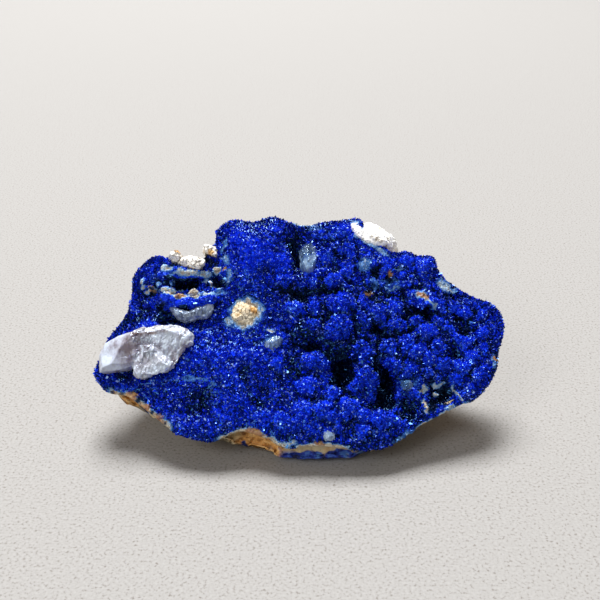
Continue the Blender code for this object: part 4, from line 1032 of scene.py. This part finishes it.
def wall_table():
    """Directions of the solids' wall columns and how far each row stands in from the rim."""
    cells_u, cells_v = SOLID_CELLS_U // 2, SOLID_CELLS_V // 2
    angle = disc_grid(cells_u, cells_v, CROWDING)[1].reshape(-1)[ring_of(cells_u, cells_v)]
    rng = np.random.default_rng(ROUGH_SEED)
    foot_scale = 0.955 - 0.04 * broken_faces(len(angle), rng)
    rows = [np.ones(len(angle))]
    for row in range(1, WALL_ROWS):
        ledge = np.roll(broken_faces(len(angle), rng), 2 * (row % 2))
        rows.append(1.0 - (1.0 - foot_scale) * row / WALL_ROWS - WALL_LEDGE * ledge)
    rows.append(foot_scale)
    order = np.argsort(angle % (2.0 * np.pi))
    return (angle % (2.0 * np.pi))[order], np.array(rows)[:, order]


def rock_wall(angle, drops):
    """Wall points for directions and drops from 0 at the rim to 1 at the foot, and the foot scale."""
    column_angle, table = wall_table()
    rows = np.array([np.interp(angle, column_angle, row, period=2.0 * np.pi) for row in table])
    u, v = rim_radius(angle) * np.cos(angle), rim_radius(angle) * np.sin(angle)
    rim = tilt(u, v, rim_heights(angle)[1])
    foot = rim[:, :2] * rows[-1][:, None]
    foot_z = np.minimum(under_height(foot[:, 0], foot[:, 1]),
                        tilt(u, v, rock_height(u, v))[:, 2] - STRIP_MIN)
    place_in = np.clip(drops * WALL_ROWS, 0.0, WALL_ROWS - 1e-6)
    first = place_in.astype(int)
    part = (place_in - first)[:, None]
    inset = rows[first] * (1.0 - part) + rows[first + 1] * part
    xy = rim[None, :, :2] * inset[..., None]
    z = rim[None, :, 2] + (foot_z - rim[:, 2])[None, :] * drops[:, None]
    return np.concatenate([xy, z[..., None]], axis=-1), rows[-1]


def rock_points():
    """The rock's grid: rings under the crust, rows down the wall and rings over the underside."""
    angle = np.linspace(0.0, 2.0 * np.pi, ROCK_COLUMNS, endpoint=False)
    radius = rim_radius(angle)
    shares = np.linspace(0.0, 1.0, ROCK_TOP_ROWS + 1)[:-1, None]
    u, v = shares * radius * np.cos(angle), shares * radius * np.sin(angle)
    top = tilt(u, v, rock_height(u, v) - SEAM)
    wall, foot_scale = rock_wall(angle, np.linspace(0.0, 1.0, ROCK_WALL_ROWS))
    edge = wall[0, :, :2] * foot_scale[:, None]
    shares = np.linspace(1.0, 0.0, ROCK_UNDER_ROWS + 1)[1:, None]
    xy = shares[..., None] * edge[None]
    z = under_height(xy[..., 0], xy[..., 1])
    under = np.concatenate([xy, z[..., None]], axis=-1)
    return top, wall, under


def rock_relief(points, normals, share_in):
    """Move points in along their normals by broken and grainy relief, the share falling to 0."""
    coarse = chipped_noise(points, 4.2, 61) * 1.1
    middle = chipped_noise(points + 7.0, 1.7, 62) * 0.55
    fine = (0.5 + 0.5 * value_noise(points, 0.9, 63)) * 0.28 + 0.10 * value_noise(points, 0.35, 64)
    return points - normals * (share_in * (coarse + middle + fine))[..., None]


def rock_piece(name):
    """The rock: one closed grid of rings, its wall and underside broken in chips and grains."""
    top, wall, under = rock_points()
    points = np.concatenate([top, wall, under])
    normals = -grid_normals(points)
    rows = np.arange(len(points), dtype=float)
    first, last = len(top), len(top) + len(wall)
    share_in = np.clip((rows - first) / 8.0, 0.0, 1.0)[:, None] * np.ones(ROCK_COLUMNS)
    flat = np.clip(points[..., 2] / 1.2, 0.0, 1.0)
    share_in = np.where(rows[:, None] < last, share_in, 0.25 + 0.55 * flat)
    moved = rock_relief(points, normals, share_in)
    moved[:first] = points[:first]
    moved[..., 2] = np.maximum(moved[..., 2], 0.0)
    obj = join_grids(name, [moved[::-1] + SHIFT])
    rust, blue, dark = wall_masks(as_list(moved[::-1]))
    none = np.zeros(len(rust))
    paint(obj, rust=rust, blue=blue, dark=dark, white=none, lines=none)
    return obj


def wall_spots(points, table):
    """Strength of a table's upright wall patches at points, with frayed borders, front only."""
    frayed = points + 0.9 * np.stack([value_noise(points, 1.3, 71), value_noise(points, 1.3, 72),
                                      value_noise(points, 1.3, 73)], axis=-1)
    total = np.zeros(points.shape[:-1])
    for x, half, low, high, strength in table:
        middle, reach = (low + high) / 2.0, (high - low) / 2.0
        spot = np.exp(-(((frayed[..., 0] - x) / half) ** 2 + ((frayed[..., 2] - middle) / reach) ** 2) ** 2)
        total = np.maximum(total, strength * spot)
    return total * (points[..., 1] < 4.0)


def wall_masks(points):
    """Rust, blue and darkness of the rock at points given before the shift."""
    return (wall_spots(points, WALL_RUST), wall_spots(points, WALL_BLUE), wall_spots(points, WALL_DARK))


# ---------------------------------------------------------------- materials
class Shader:
    """A Principled material whose node tree is built up step by step."""

    def __init__(self, name):
        self.material = bpy.data.materials.new(name)
        self.material.use_nodes = True
        self.tree = self.material.node_tree
        self.surface = self.tree.nodes["Principled BSDF"]
        self.place = self.node("ShaderNodeTexCoord").outputs["Object"]

    def node(self, kind, **settings):
        """Add a node and set its properties and input values by name."""
        node = self.tree.nodes.new(kind)
        for key, value in settings.items():
            if hasattr(node, key):
                setattr(node, key, value)
            else:
                node.inputs[key.replace("_", " ").title()].default_value = value
        return node

    def link(self, source, target):
        """Join an output to an input."""
        self.tree.links.new(source, target)

    def attribute(self, name):
        """A per-vertex number by name."""
        return self.node("ShaderNodeAttribute", attribute_name=name).outputs["Fac"]

    def noise(self, scale, detail=3.0, roughness=0.55, stretch=(1.0, 1.0, 1.0)):
        """Noise from 0 to 1 over object coordinates, its scale in features per metre."""
        scaled = self.node("ShaderNodeVectorMath", operation="MULTIPLY")
        scaled.inputs[1].default_value = stretch
        self.link(self.place, scaled.inputs[0])
        node = self.node("ShaderNodeTexNoise", scale=scale, detail=detail, roughness=roughness)
        self.link(scaled.outputs["Vector"], node.inputs["Vector"])
        return node.outputs["Fac"]

    def cells(self, scale):
        """Distance from the nearest of scattered points over object coordinates."""
        node = self.node("ShaderNodeTexVoronoi", scale=scale)
        self.link(self.place, node.inputs["Vector"])
        return node.outputs["Distance"]

    def ramp(self, value, stops):
        """Turn a number into a colour by stops of position and colour."""
        node = self.node("ShaderNodeValToRGB")
        points = node.color_ramp.elements
        while len(points) < len(stops):
            points.new(0.5)
        for point, (position, colour) in zip(points, stops):
            point.position = position
            point.color = (*colour, 1.0)
        self.link(value, node.inputs["Fac"])
        return node.outputs["Color"]

    def span(self, value, low, high, to_low=0.0, to_high=1.0):
        """Stretch a number from one range to another, held at its ends."""
        node = self.node("ShaderNodeMapRange")
        self.link(value, node.inputs["Value"])
        ends = {"From Min": low, "From Max": high, "To Min": to_low, "To Max": to_high}
        for key, number in ends.items():
            node.inputs[key].default_value = number
        return node.outputs["Result"]

    def math(self, operation, a, b):
        """Combine two numbers, each an output or a plain value."""
        node = self.node("ShaderNodeMath", operation=operation)
        for socket, value in zip(node.inputs, (a, b)):
            if isinstance(value, (int, float)):
                socket.default_value = value
            else:
                self.link(value, socket)
        return node.outputs["Value"]

    def mix(self, factor, a, b):
        """Mix two colours, each an output or a plain colour."""
        node = self.node("ShaderNodeMix", data_type="RGBA")
        self.link(factor, node.inputs["Factor"])
        for socket, value in zip((node.inputs[6], node.inputs[7]), (a, b)):
            if isinstance(value, tuple):
                socket.default_value = (*value, 1.0)
            else:
                self.link(value, socket)
        return node.outputs[2]

    def bump(self, height, distance, strength=1.0):
        """Raise fine relief on the surface by a height in metres."""
        node = self.node("ShaderNodeBump")
        node.inputs["Distance"].default_value = distance
        node.inputs["Strength"].default_value = strength
        self.link(height, node.inputs["Height"])
        self.link(node.outputs["Normal"], self.surface.inputs["Normal"])

    def finish(self, **values):
        """Set the surface's own inputs: an output is joined, a plain value is set."""
        for key, value in values.items():
            socket = self.surface.inputs[key.replace("_", " ").title().replace("Ior", "IOR")]
            if isinstance(value, bpy.types.NodeSocket):
                self.link(value, socket)
            else:
                socket.default_value = value
        return self.material


def azurite_material(settings):
    """Azurite: deep blue crystals, azure to cream where the crust thins out, with painted shade that goes
    black in hollows and painted glints on a few raised crystals.
    """
    shader = Shader("azurite")
    relief, tint = shader.attribute("relief"), shader.attribute("tint")
    cloud = shader.noise(260.0, 4.0)
    shade = shader.math("ADD", shader.math("MULTIPLY", tint, 0.96), shader.math("MULTIPLY", cloud, 0.35))
    # Painted shade: crystals darken where the crust lies low beside its surroundings, in hollows and
    # between knobs.
    shade = shader.math("ADD", shade, shader.span(relief, 0.08, 0.68, -0.85, 0.04))
    # Painted shade: darker still in the deep places between the knobs.
    deep_shade = shader.attribute("deep_shade")
    shade = shader.math("SUBTRACT", shade, shader.math("MULTIPLY", deep_shade, 0.68))
    blue = shader.ramp(shade, [(0.0, (0.0002, 0.0004, 0.006)), (0.25, tuple(settings.deep_blue)),
                               (0.55, tuple(settings.azurite_blue)), (0.95, tuple(settings.bright_blue))])
    # Painted glints: a few crystals on raised places, outside the deep places, take the glint colour into
    # their base colour.
    light = shader.math("MULTIPLY", shader.span(tint, 0.92, 0.995), shader.span(relief, 0.20, 0.50))
    light = shader.math("MULTIPLY", light, shader.span(deep_shade, 0.0, 0.5, 1.0, 0.0))
    blue = shader.mix(light, blue, tuple(settings.glint))
    fray = shader.span(shader.noise(1500.0, 3.0), 0.3, 0.7, -0.12, 0.12)
    pale = shader.math("ADD", shader.attribute("pale"), fray)
    pale = shader.math("ADD", pale, shader.span(tint, 0.0, 1.0, -0.14, 0.14))
    thin = shader.ramp(pale, [(0.0, (0.0, 0.02, 0.2)), (0.24, (0.02, 0.09, 0.46)),
                              (0.42, (0.09, 0.27, 0.62)), (0.62, (0.38, 0.52, 0.66)),
                              (0.85, (0.56, 0.50, 0.36))])
    grit = shader.span(shader.noise(1900.0, 4.0, 0.65), 0.44, 0.56)
    thin = shader.mix(shader.math("MULTIPLY", shader.span(pale, 0.7, 0.9, 0.0, 0.75), grit), thin,
                      (0.26, 0.15, 0.06))
    colour = shader.mix(shader.span(pale, 0.14, 0.34), blue, thin)
    stain = shader.ramp(shader.noise(1300.0, 3.0), [(0.3, (0.08, 0.03, 0.008)), (0.5, (0.36, 0.17, 0.04)),
                                                    (0.7, (0.56, 0.36, 0.14))])
    colour = shader.mix(shader.span(shader.attribute("rust"), 0.25, 0.6), colour, stain)
    # Painted shade: near black in the crust's hollows, pits and gaps and under the large crystal, and a few
    # dark specks on the lower-left rim.
    colour = shader.mix(shader.span(shader.attribute("dark"), 0.1, 0.75, 0.0, 0.97), colour,
                        (0.0015, 0.0015, 0.003))
    gloss = shader.span(pale, 0.1, 0.6, 0.18, 0.6)
    return shader.finish(base_color=colour, roughness=gloss, ior=1.73, specular_tint=(0.12, 0.4, 1.0, 1.0))


def rock_material(settings):
    """Rock: cream to ochre grains, rusty, blue and black stains, painted shade at the foot of the notch's
    bosses, white where it is bare on top.
    """
    shader = Shader("stained rock")
    broad, middle = shader.noise(170.0, 5.0), shader.noise(620.0, 4.0, 0.65)
    fine = shader.noise(2600.0, 3.0)
    value = shader.math("ADD", shader.math("MULTIPLY", broad, 0.5), shader.math("MULTIPLY", middle, 0.5))
    cream = shader.ramp(value, [(0.36, (0.30, 0.17, 0.06)), (0.45, (0.60, 0.42, 0.20)),
                                (0.53, tuple(settings.rock_cream)), (0.66, (0.66, 0.58, 0.40))])
    white = shader.ramp(middle, [(0.34, (0.45, 0.37, 0.26)), (0.42, (0.84, 0.81, 0.74)),
                                 (0.50, (0.93, 0.93, 0.93))])
    colour = shader.mix(shader.attribute("white"), cream, white)
    rusty = shader.ramp(middle, [(0.36, (0.16, 0.05, 0.01)), (0.5, tuple(settings.rust)),
                                 (0.64, (0.90, 0.60, 0.26))])
    colour = shader.mix(shader.span(shader.attribute("rust"), 0.15, 0.6), colour, rusty)
    blue = shader.ramp(middle, [(0.36, (0.003, 0.006, 0.05)), (0.5, (0.01, 0.035, 0.36)),
                                (0.66, (0.10, 0.26, 0.62))])
    colour = shader.mix(shader.span(shader.attribute("blue"), 0.2, 0.6), colour, blue)
    lines = shader.math("ABSOLUTE", shader.math("SUBTRACT", shader.noise(750.0, 3.0, 0.6, (1.6, 0.5, 0.7)),
                                                0.5), 0.0)
    lines = shader.math("MULTIPLY", shader.span(lines, 0.006, 0.026, 0.95, 0.0), shader.attribute("lines"))
    colour = shader.mix(lines, colour, (0.03, 0.02, 0.012))
    specks = shader.span(shader.cells(1500.0), 0.10, 0.20, 1.0, 0.0)
    specks = shader.math("MULTIPLY", specks, shader.span(shader.noise(350.0), 0.5, 0.62))
    colour = shader.mix(specks, colour, (0.03, 0.02, 0.012))
    # Near black: the wall's dark patches, and painted shade at the foot of the notch's bosses.
    colour = shader.mix(shader.span(shader.attribute("dark"), 0.2, 0.8, 0.0, 0.9), colour,
                        (0.012, 0.014, 0.012))
    relief = shader.math("ADD", shader.math("MULTIPLY", middle, 0.7), shader.math("MULTIPLY", fine, 0.3))
    shader.bump(relief, 0.00045, 0.9)
    return shader.finish(base_color=colour, roughness=shader.span(fine, 0.3, 0.7, 0.72, 0.95))


def crystal_material(name, settings):
    """Crystal: glassy blue-grey to milky white, frosted in places, with rusty inclusions."""
    shader = Shader(name)
    milk, frost = shader.attribute("milk"), shader.attribute("frost")
    cloud, streak = shader.noise(190.0, 4.0, 0.55), shader.noise(900.0, 4.0, 0.55, (1.7, 0.75, 0.75))
    veil = shader.math("ADD", shader.math("MULTIPLY", cloud, 0.74), shader.math("MULTIPLY", streak, 0.26))
    glass = shader.ramp(veil, [(0.40, tuple(settings.crystal_glass)), (0.50, (0.13, 0.33, 0.70)),
                               (0.62, (0.36, 0.60, 0.94))])
    white = shader.ramp(veil, [(0.40, (0.36, 0.30, 0.33)), (0.48, (0.58, 0.57, 0.65)),
                               (0.58, tuple(settings.crystal_white))])
    tone = shader.mix(milk, glass, white)
    rime = shader.math("MULTIPLY", shader.span(streak, 0.48, 0.56, 0.0, 0.7),
                       shader.span(milk, 0.1, 0.9, 0.25, 1.0))
    tone = shader.mix(shader.math("MULTIPLY", frost, rime), tone, (0.78, 0.88, 1.0))
    brown = shader.ramp(streak, [(0.42, (0.17, 0.09, 0.07)), (0.56, (0.44, 0.30, 0.26))])
    tone = shader.mix(shader.attribute("rust"), tone, brown)
    shader.bump(streak, 0.00010, 0.25)
    pass_light = shader.math("ADD", shader.span(veil, 0.40, 0.58, 0.26, 0.0),
                             shader.span(milk, 0.0, 1.0, 0.60, 0.22))
    return shader.finish(base_color=tone, roughness=shader.span(streak, 0.35, 0.65, 0.05, 0.22), ior=1.56,
                         transmission_weight=pass_light, specular_tint=(0.6, 0.8, 1.0, 1.0))


def floor_material():
    """A plain pale floor with a faint speckle."""
    shader = Shader("floor")
    speck = shader.noise(2200.0, 3.0)
    colour = shader.ramp(speck, [(0.30, (0.17, 0.15, 0.135)), (0.42, (0.295, 0.284, 0.272)),
                                 (0.70, (0.340, 0.330, 0.318))])
    return shader.finish(base_color=colour, roughness=0.9)


# ---------------------------------------------------------------- the add-on
# Lights: place and size in metres.  Camera: millimetres behind and above the middle of the face.
KEY_PLACE, KEY_SIZE = (-0.14, 0.85, 1.55), 0.80
FILL_PLACE, FILL_SIZE = (-0.50, -0.55, 0.60), 0.40
FILL_SHARE = 0.045              # the fill's strength beside the key's
LIGHT_TARGET = (0.0, 0.0, 0.012)
CAMERA_BACK, CAMERA_UP, CAMERA_PITCH = 126.978, 72.806, 63.0
LENS, SENSOR = 51.0, 36.0


class AzuriteSettings(bpy.types.PropertyGroup):
    """Sizes and colours of the specimen's dressing."""
    azurite_blue: FloatVectorProperty(name="Azurite", description="Colour of most azurite crystals",
                                      default=(0.003, 0.022, 0.72), subtype="COLOR", min=0, max=1)
    deep_blue: FloatVectorProperty(name="Deep azurite", description="Colour of crystals in shade",
                                   default=(0.001, 0.005, 0.20), subtype="COLOR", min=0, max=1)
    bright_blue: FloatVectorProperty(name="Bright azurite", description="Colour of the lightest crystals",
                                     default=(0.014, 0.085, 1.0), subtype="COLOR", min=0, max=1)
    # Painted glint colour, put into the base colour of a few raised crystals.
    glint: FloatVectorProperty(name="Glint", description="Colour of the crystals that catch the light",
                               default=(0.42, 0.62, 1.0), subtype="COLOR", min=0, max=1)
    rock_cream: FloatVectorProperty(name="Rock", description="Colour of the bare rock",
                                    default=(0.60, 0.50, 0.31), subtype="COLOR", min=0, max=1)
    rust: FloatVectorProperty(name="Rust", description="Colour of the rusty stains",
                              default=(0.68, 0.34, 0.09), subtype="COLOR", min=0, max=1)
    crystal_white: FloatVectorProperty(name="Crystal", description="Colour of the milky crystals",
                                       default=(0.76, 0.83, 0.96), subtype="COLOR", min=0, max=1)
    crystal_glass: FloatVectorProperty(name="Glass", description="Colour deep in the clear crystals",
                                       default=(0.06, 0.18, 0.42), subtype="COLOR", min=0, max=1)
    floor_size: FloatProperty(name="Floor", description="Half width of the floor", default=1.5,
                              unit="LENGTH", min=0.2)
    key_light: FloatProperty(name="Key light", description="Strength of the main light in watts",
                             default=68.0, min=0.0)
    sky: FloatProperty(name="Sky", description="Strength of the soft light all round", default=0.27,
                       min=0.0)


def settings_of(context):
    """The scene's azurite settings."""
    return context.scene.azurite_settings


def shared_material(name, make):
    """A material by name, made the first time it is asked for."""
    return bpy.data.materials.get(name) or make()


def dress(obj, material, slot, *nodes):
    """Give a piece its material and body and hide the nodes it stands for; the slot is not used."""
    obj.data.materials.clear()
    obj.data.materials.append(material)
    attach(obj, "root")
    if nodes:
        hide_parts(*nodes)


class AZURITE_OT_crust(bpy.types.Operator):
    """Make the knobbly sheet that the small crystals stand on"""
    bl_idname = "azurite.crust"
    bl_label = "Crust"

    def execute(self, context):
        settings = settings_of(context)
        material = shared_material("azurite", lambda: azurite_material(settings))
        dress(crust_piece("crust_ground"), material, "azurite_crust", "azurite_crust")
        return {"FINISHED"}


class AZURITE_OT_druse(bpy.types.Operator):
    """Scatter the small azurite crystals over the crust"""
    bl_idname = "azurite.druse"
    bl_label = "Druse"

    def execute(self, context):
        settings = settings_of(context)
        material = shared_material("azurite", lambda: azurite_material(settings))
        for piece in druse_pieces(np.random.default_rng(DRUSE_SEED)):
            dress(piece, material, "azurite_crust", "azurite_crust")
        return {"FINISHED"}


class AZURITE_OT_ledges(bpy.types.Operator):
    """Make the angular edges of the broken ledges"""
    bl_idname = "azurite.ledges"
    bl_label = "Ledges"

    def execute(self, context):
        settings = settings_of(context)
        material = shared_material("azurite", lambda: azurite_material(settings))
        for name, blocks, rows, relief in (("ledges", LUMPS.values(), 60, 0.5), ("chips", CHIPS, 28, 0.25)):
            grids = [lump_surface(block, rows, rows * 3 // 2, relief, relief * 1.6) for block in blocks]
            obj = join_grids(name, [to_room(g[..., 0], g[..., 1], g[..., 2]) for g in grids])
            flat = np.concatenate([as_list(g) for g in grids])
            paint(obj, tint=np.full(len(flat), 0.5), **azurite_values(flat[:, 0], flat[:, 1]))
            dress(obj, material, "azurite_crust", "azurite_crust")
        return {"FINISHED"}


class AZURITE_OT_rock(bpy.types.Operator):
    """Make the rock with its broken wall and underside"""
    bl_idname = "azurite.rock"
    bl_label = "Rock"

    def execute(self, context):
        settings = settings_of(context)
        material = shared_material("stained rock", lambda: rock_material(settings))
        dress(rock_piece("rock"), material, "matrix", "matrix")
        return {"FINISHED"}


def boss_masks(points):
    """Stains of the bare rock: painted shade at the foot of the bosses near the crust in the notch, white
    and plain on the shoulder.
    """
    u, v, w = points.T
    notch, shoulder = u < NOTCH_END, u > SHOULDER_START
    above = w - RASTER.read(RASTER.height, u, v)
    room = rim_radius(np.arctan2(v, u)) - np.hypot(u, v)
    # Painted shade at the foot of the notch's bosses, close to the crust.
    crust_foot_shade = notch * smooth_step(0.5, 0.35 - above) * (room > -0.6)
    return {"rust": spots(u, v, BOSS_RUST, 2.0), "blue": np.zeros(len(u)), "dark": crust_foot_shade,
            "white": np.where(shoulder, 1.0, np.where(notch, 0.8, 0.2)),
            "lines": np.where(shoulder, 0.15, 1.0)}


class AZURITE_OT_bosses(bpy.types.Operator):
    """Make the bare rock that stands through the crust"""
    bl_idname = "azurite.bosses"
    bl_label = "Bosses"

    def execute(self, context):
        settings = settings_of(context)
        material = shared_material("stained rock", lambda: rock_material(settings))
        blocks = [*BOSSES.values(), *NOTCH_PIECES]
        grids = [lump_surface(block, 80, 120, 0.3, 0.9) for block in blocks]
        obj = join_grids("bosses", [to_room(g[..., 0], g[..., 1], g[..., 2]) for g in grids])
        paint(obj, **boss_masks(np.concatenate([as_list(g) for g in grids])))
        dress(obj, material, "matrix", "matrix")
        return {"FINISHED"}


class AZURITE_OT_crystals(bpy.types.Operator):
    """Make the milky and the clear crystals that sit in the crust"""
    bl_idname = "azurite.crystals"
    bl_label = "Crystals"

    def execute(self, context):
        settings = settings_of(context)
        for number, (node, look) in enumerate(CRYSTAL_LOOKS.items()):
            slot, milk, frosty_from, relief, rows, columns = look
            name = slot + " surface"
            material = shared_material(name, lambda: crystal_material(name, settings))
            points, frost = crystal_surface(CRYSTALS[node], rows, columns, frosty_from, relief,
                                            100 + 10 * number)
            obj = join_grids(node + "_surface", [to_room(points[..., 0], points[..., 1], points[..., 2])])
            frost, flat = as_list(frost), as_list(points)
            paint(obj, milk=np.full(len(frost), milk), frost=frost,
                  rust=spots(flat[:, 0], flat[:, 1], CRYSTAL_RUST, 1.5))
            dress(obj, material, slot, node)
        return {"FINISHED"}


class AZURITE_OT_stage(bpy.types.Operator):
    """Set up the plain floor, the soft studio light and the camera"""
    bl_idname = "azurite.stage"
    bl_label = "Stage"

    def execute(self, context):
        settings = settings_of(context)
        size = settings.floor_size
        mesh = bpy.data.meshes.new("floor")
        mesh.from_pydata([(-size, -size, 0), (size, -size, 0), (size, size, 0), (-size, size, 0)], [],
                         [(0, 1, 2, 3)])
        floor = bpy.data.objects.new("floor", mesh)
        context.scene.collection.objects.link(floor)
        mesh.materials.append(floor_material())
        world = bpy.data.worlds.new("studio")
        world.use_nodes = True
        background = world.node_tree.nodes["Background"]
        background.inputs["Color"].default_value = (1.0, 0.93, 0.87, 1.0)
        background.inputs["Strength"].default_value = settings.sky
        context.scene.world = world
        add_light("key", settings.key_light, KEY_SIZE, KEY_PLACE, (0.98, 0.99, 1.0))
        add_light("fill", FILL_SHARE * settings.key_light, FILL_SIZE, FILL_PLACE, (1.0, 0.99, 0.97))
        context.scene.view_settings.view_transform = "Standard"
        add_camera(context.scene)
        return {"FINISHED"}


def add_light(name, watts, size, location, colour):
    """Add a square area light aimed at the specimen."""
    data = bpy.data.lights.new(name, "AREA")
    data.energy, data.size, data.color = watts, size, colour
    light = bpy.data.objects.new(name, data)
    light.location = location
    towards = Vector(LIGHT_TARGET) - Vector(location)
    light.rotation_euler = towards.to_track_quat("-Z", "Y").to_euler()
    bpy.context.scene.collection.objects.link(light)


def add_camera(scene):
    """Add the camera, looking down at the middle of the face."""
    data = bpy.data.cameras.new("camera")
    data.lens, data.sensor_width = LENS, SENSOR
    camera = bpy.data.objects.new("camera", data)
    camera.location = Vector((SHIFT + np.array([0.0, -CAMERA_BACK, FACE_HEIGHT + CAMERA_UP])) * MM)
    camera.rotation_euler = (math.radians(CAMERA_PITCH), 0.0, 0.0)
    scene.collection.objects.link(camera)
    scene.camera = camera


OPERATORS = (AZURITE_OT_crust, AZURITE_OT_druse, AZURITE_OT_ledges, AZURITE_OT_rock, AZURITE_OT_bosses,
             AZURITE_OT_crystals, AZURITE_OT_stage)


class AZURITE_PT_panel(bpy.types.Panel):
    """Lists the settings and the operators"""
    bl_idname = "AZURITE_PT_panel"
    bl_label = "Azurite specimen"
    bl_space_type = "VIEW_3D"
    bl_region_type = "UI"
    bl_category = "Azurite"

    def draw(self, context):
        settings = settings_of(context)
        for name in ("azurite_blue", "deep_blue", "bright_blue", "glint", "rock_cream", "rust",
                     "crystal_white", "crystal_glass", "floor_size", "key_light", "sky"):
            self.layout.prop(settings, name)
        for operator in OPERATORS:
            self.layout.operator(operator.bl_idname)


CLASSES = (AzuriteSettings, *OPERATORS, AZURITE_PT_panel)


def register():
    for cls in CLASSES:
        bpy.utils.register_class(cls)
    bpy.types.Scene.azurite_settings = PointerProperty(type=AzuriteSettings)


def unregister():
    del bpy.types.Scene.azurite_settings
    for cls in reversed(CLASSES):
        bpy.utils.unregister_class(cls)


def main():
    register()
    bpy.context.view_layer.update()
    bpy.ops.azurite.crust()
    bpy.ops.azurite.druse()
    bpy.ops.azurite.ledges()
    bpy.ops.azurite.rock()
    bpy.ops.azurite.bosses()
    bpy.ops.azurite.crystals()
    bpy.ops.azurite.stage()


if __name__ == "__main__":
    main()
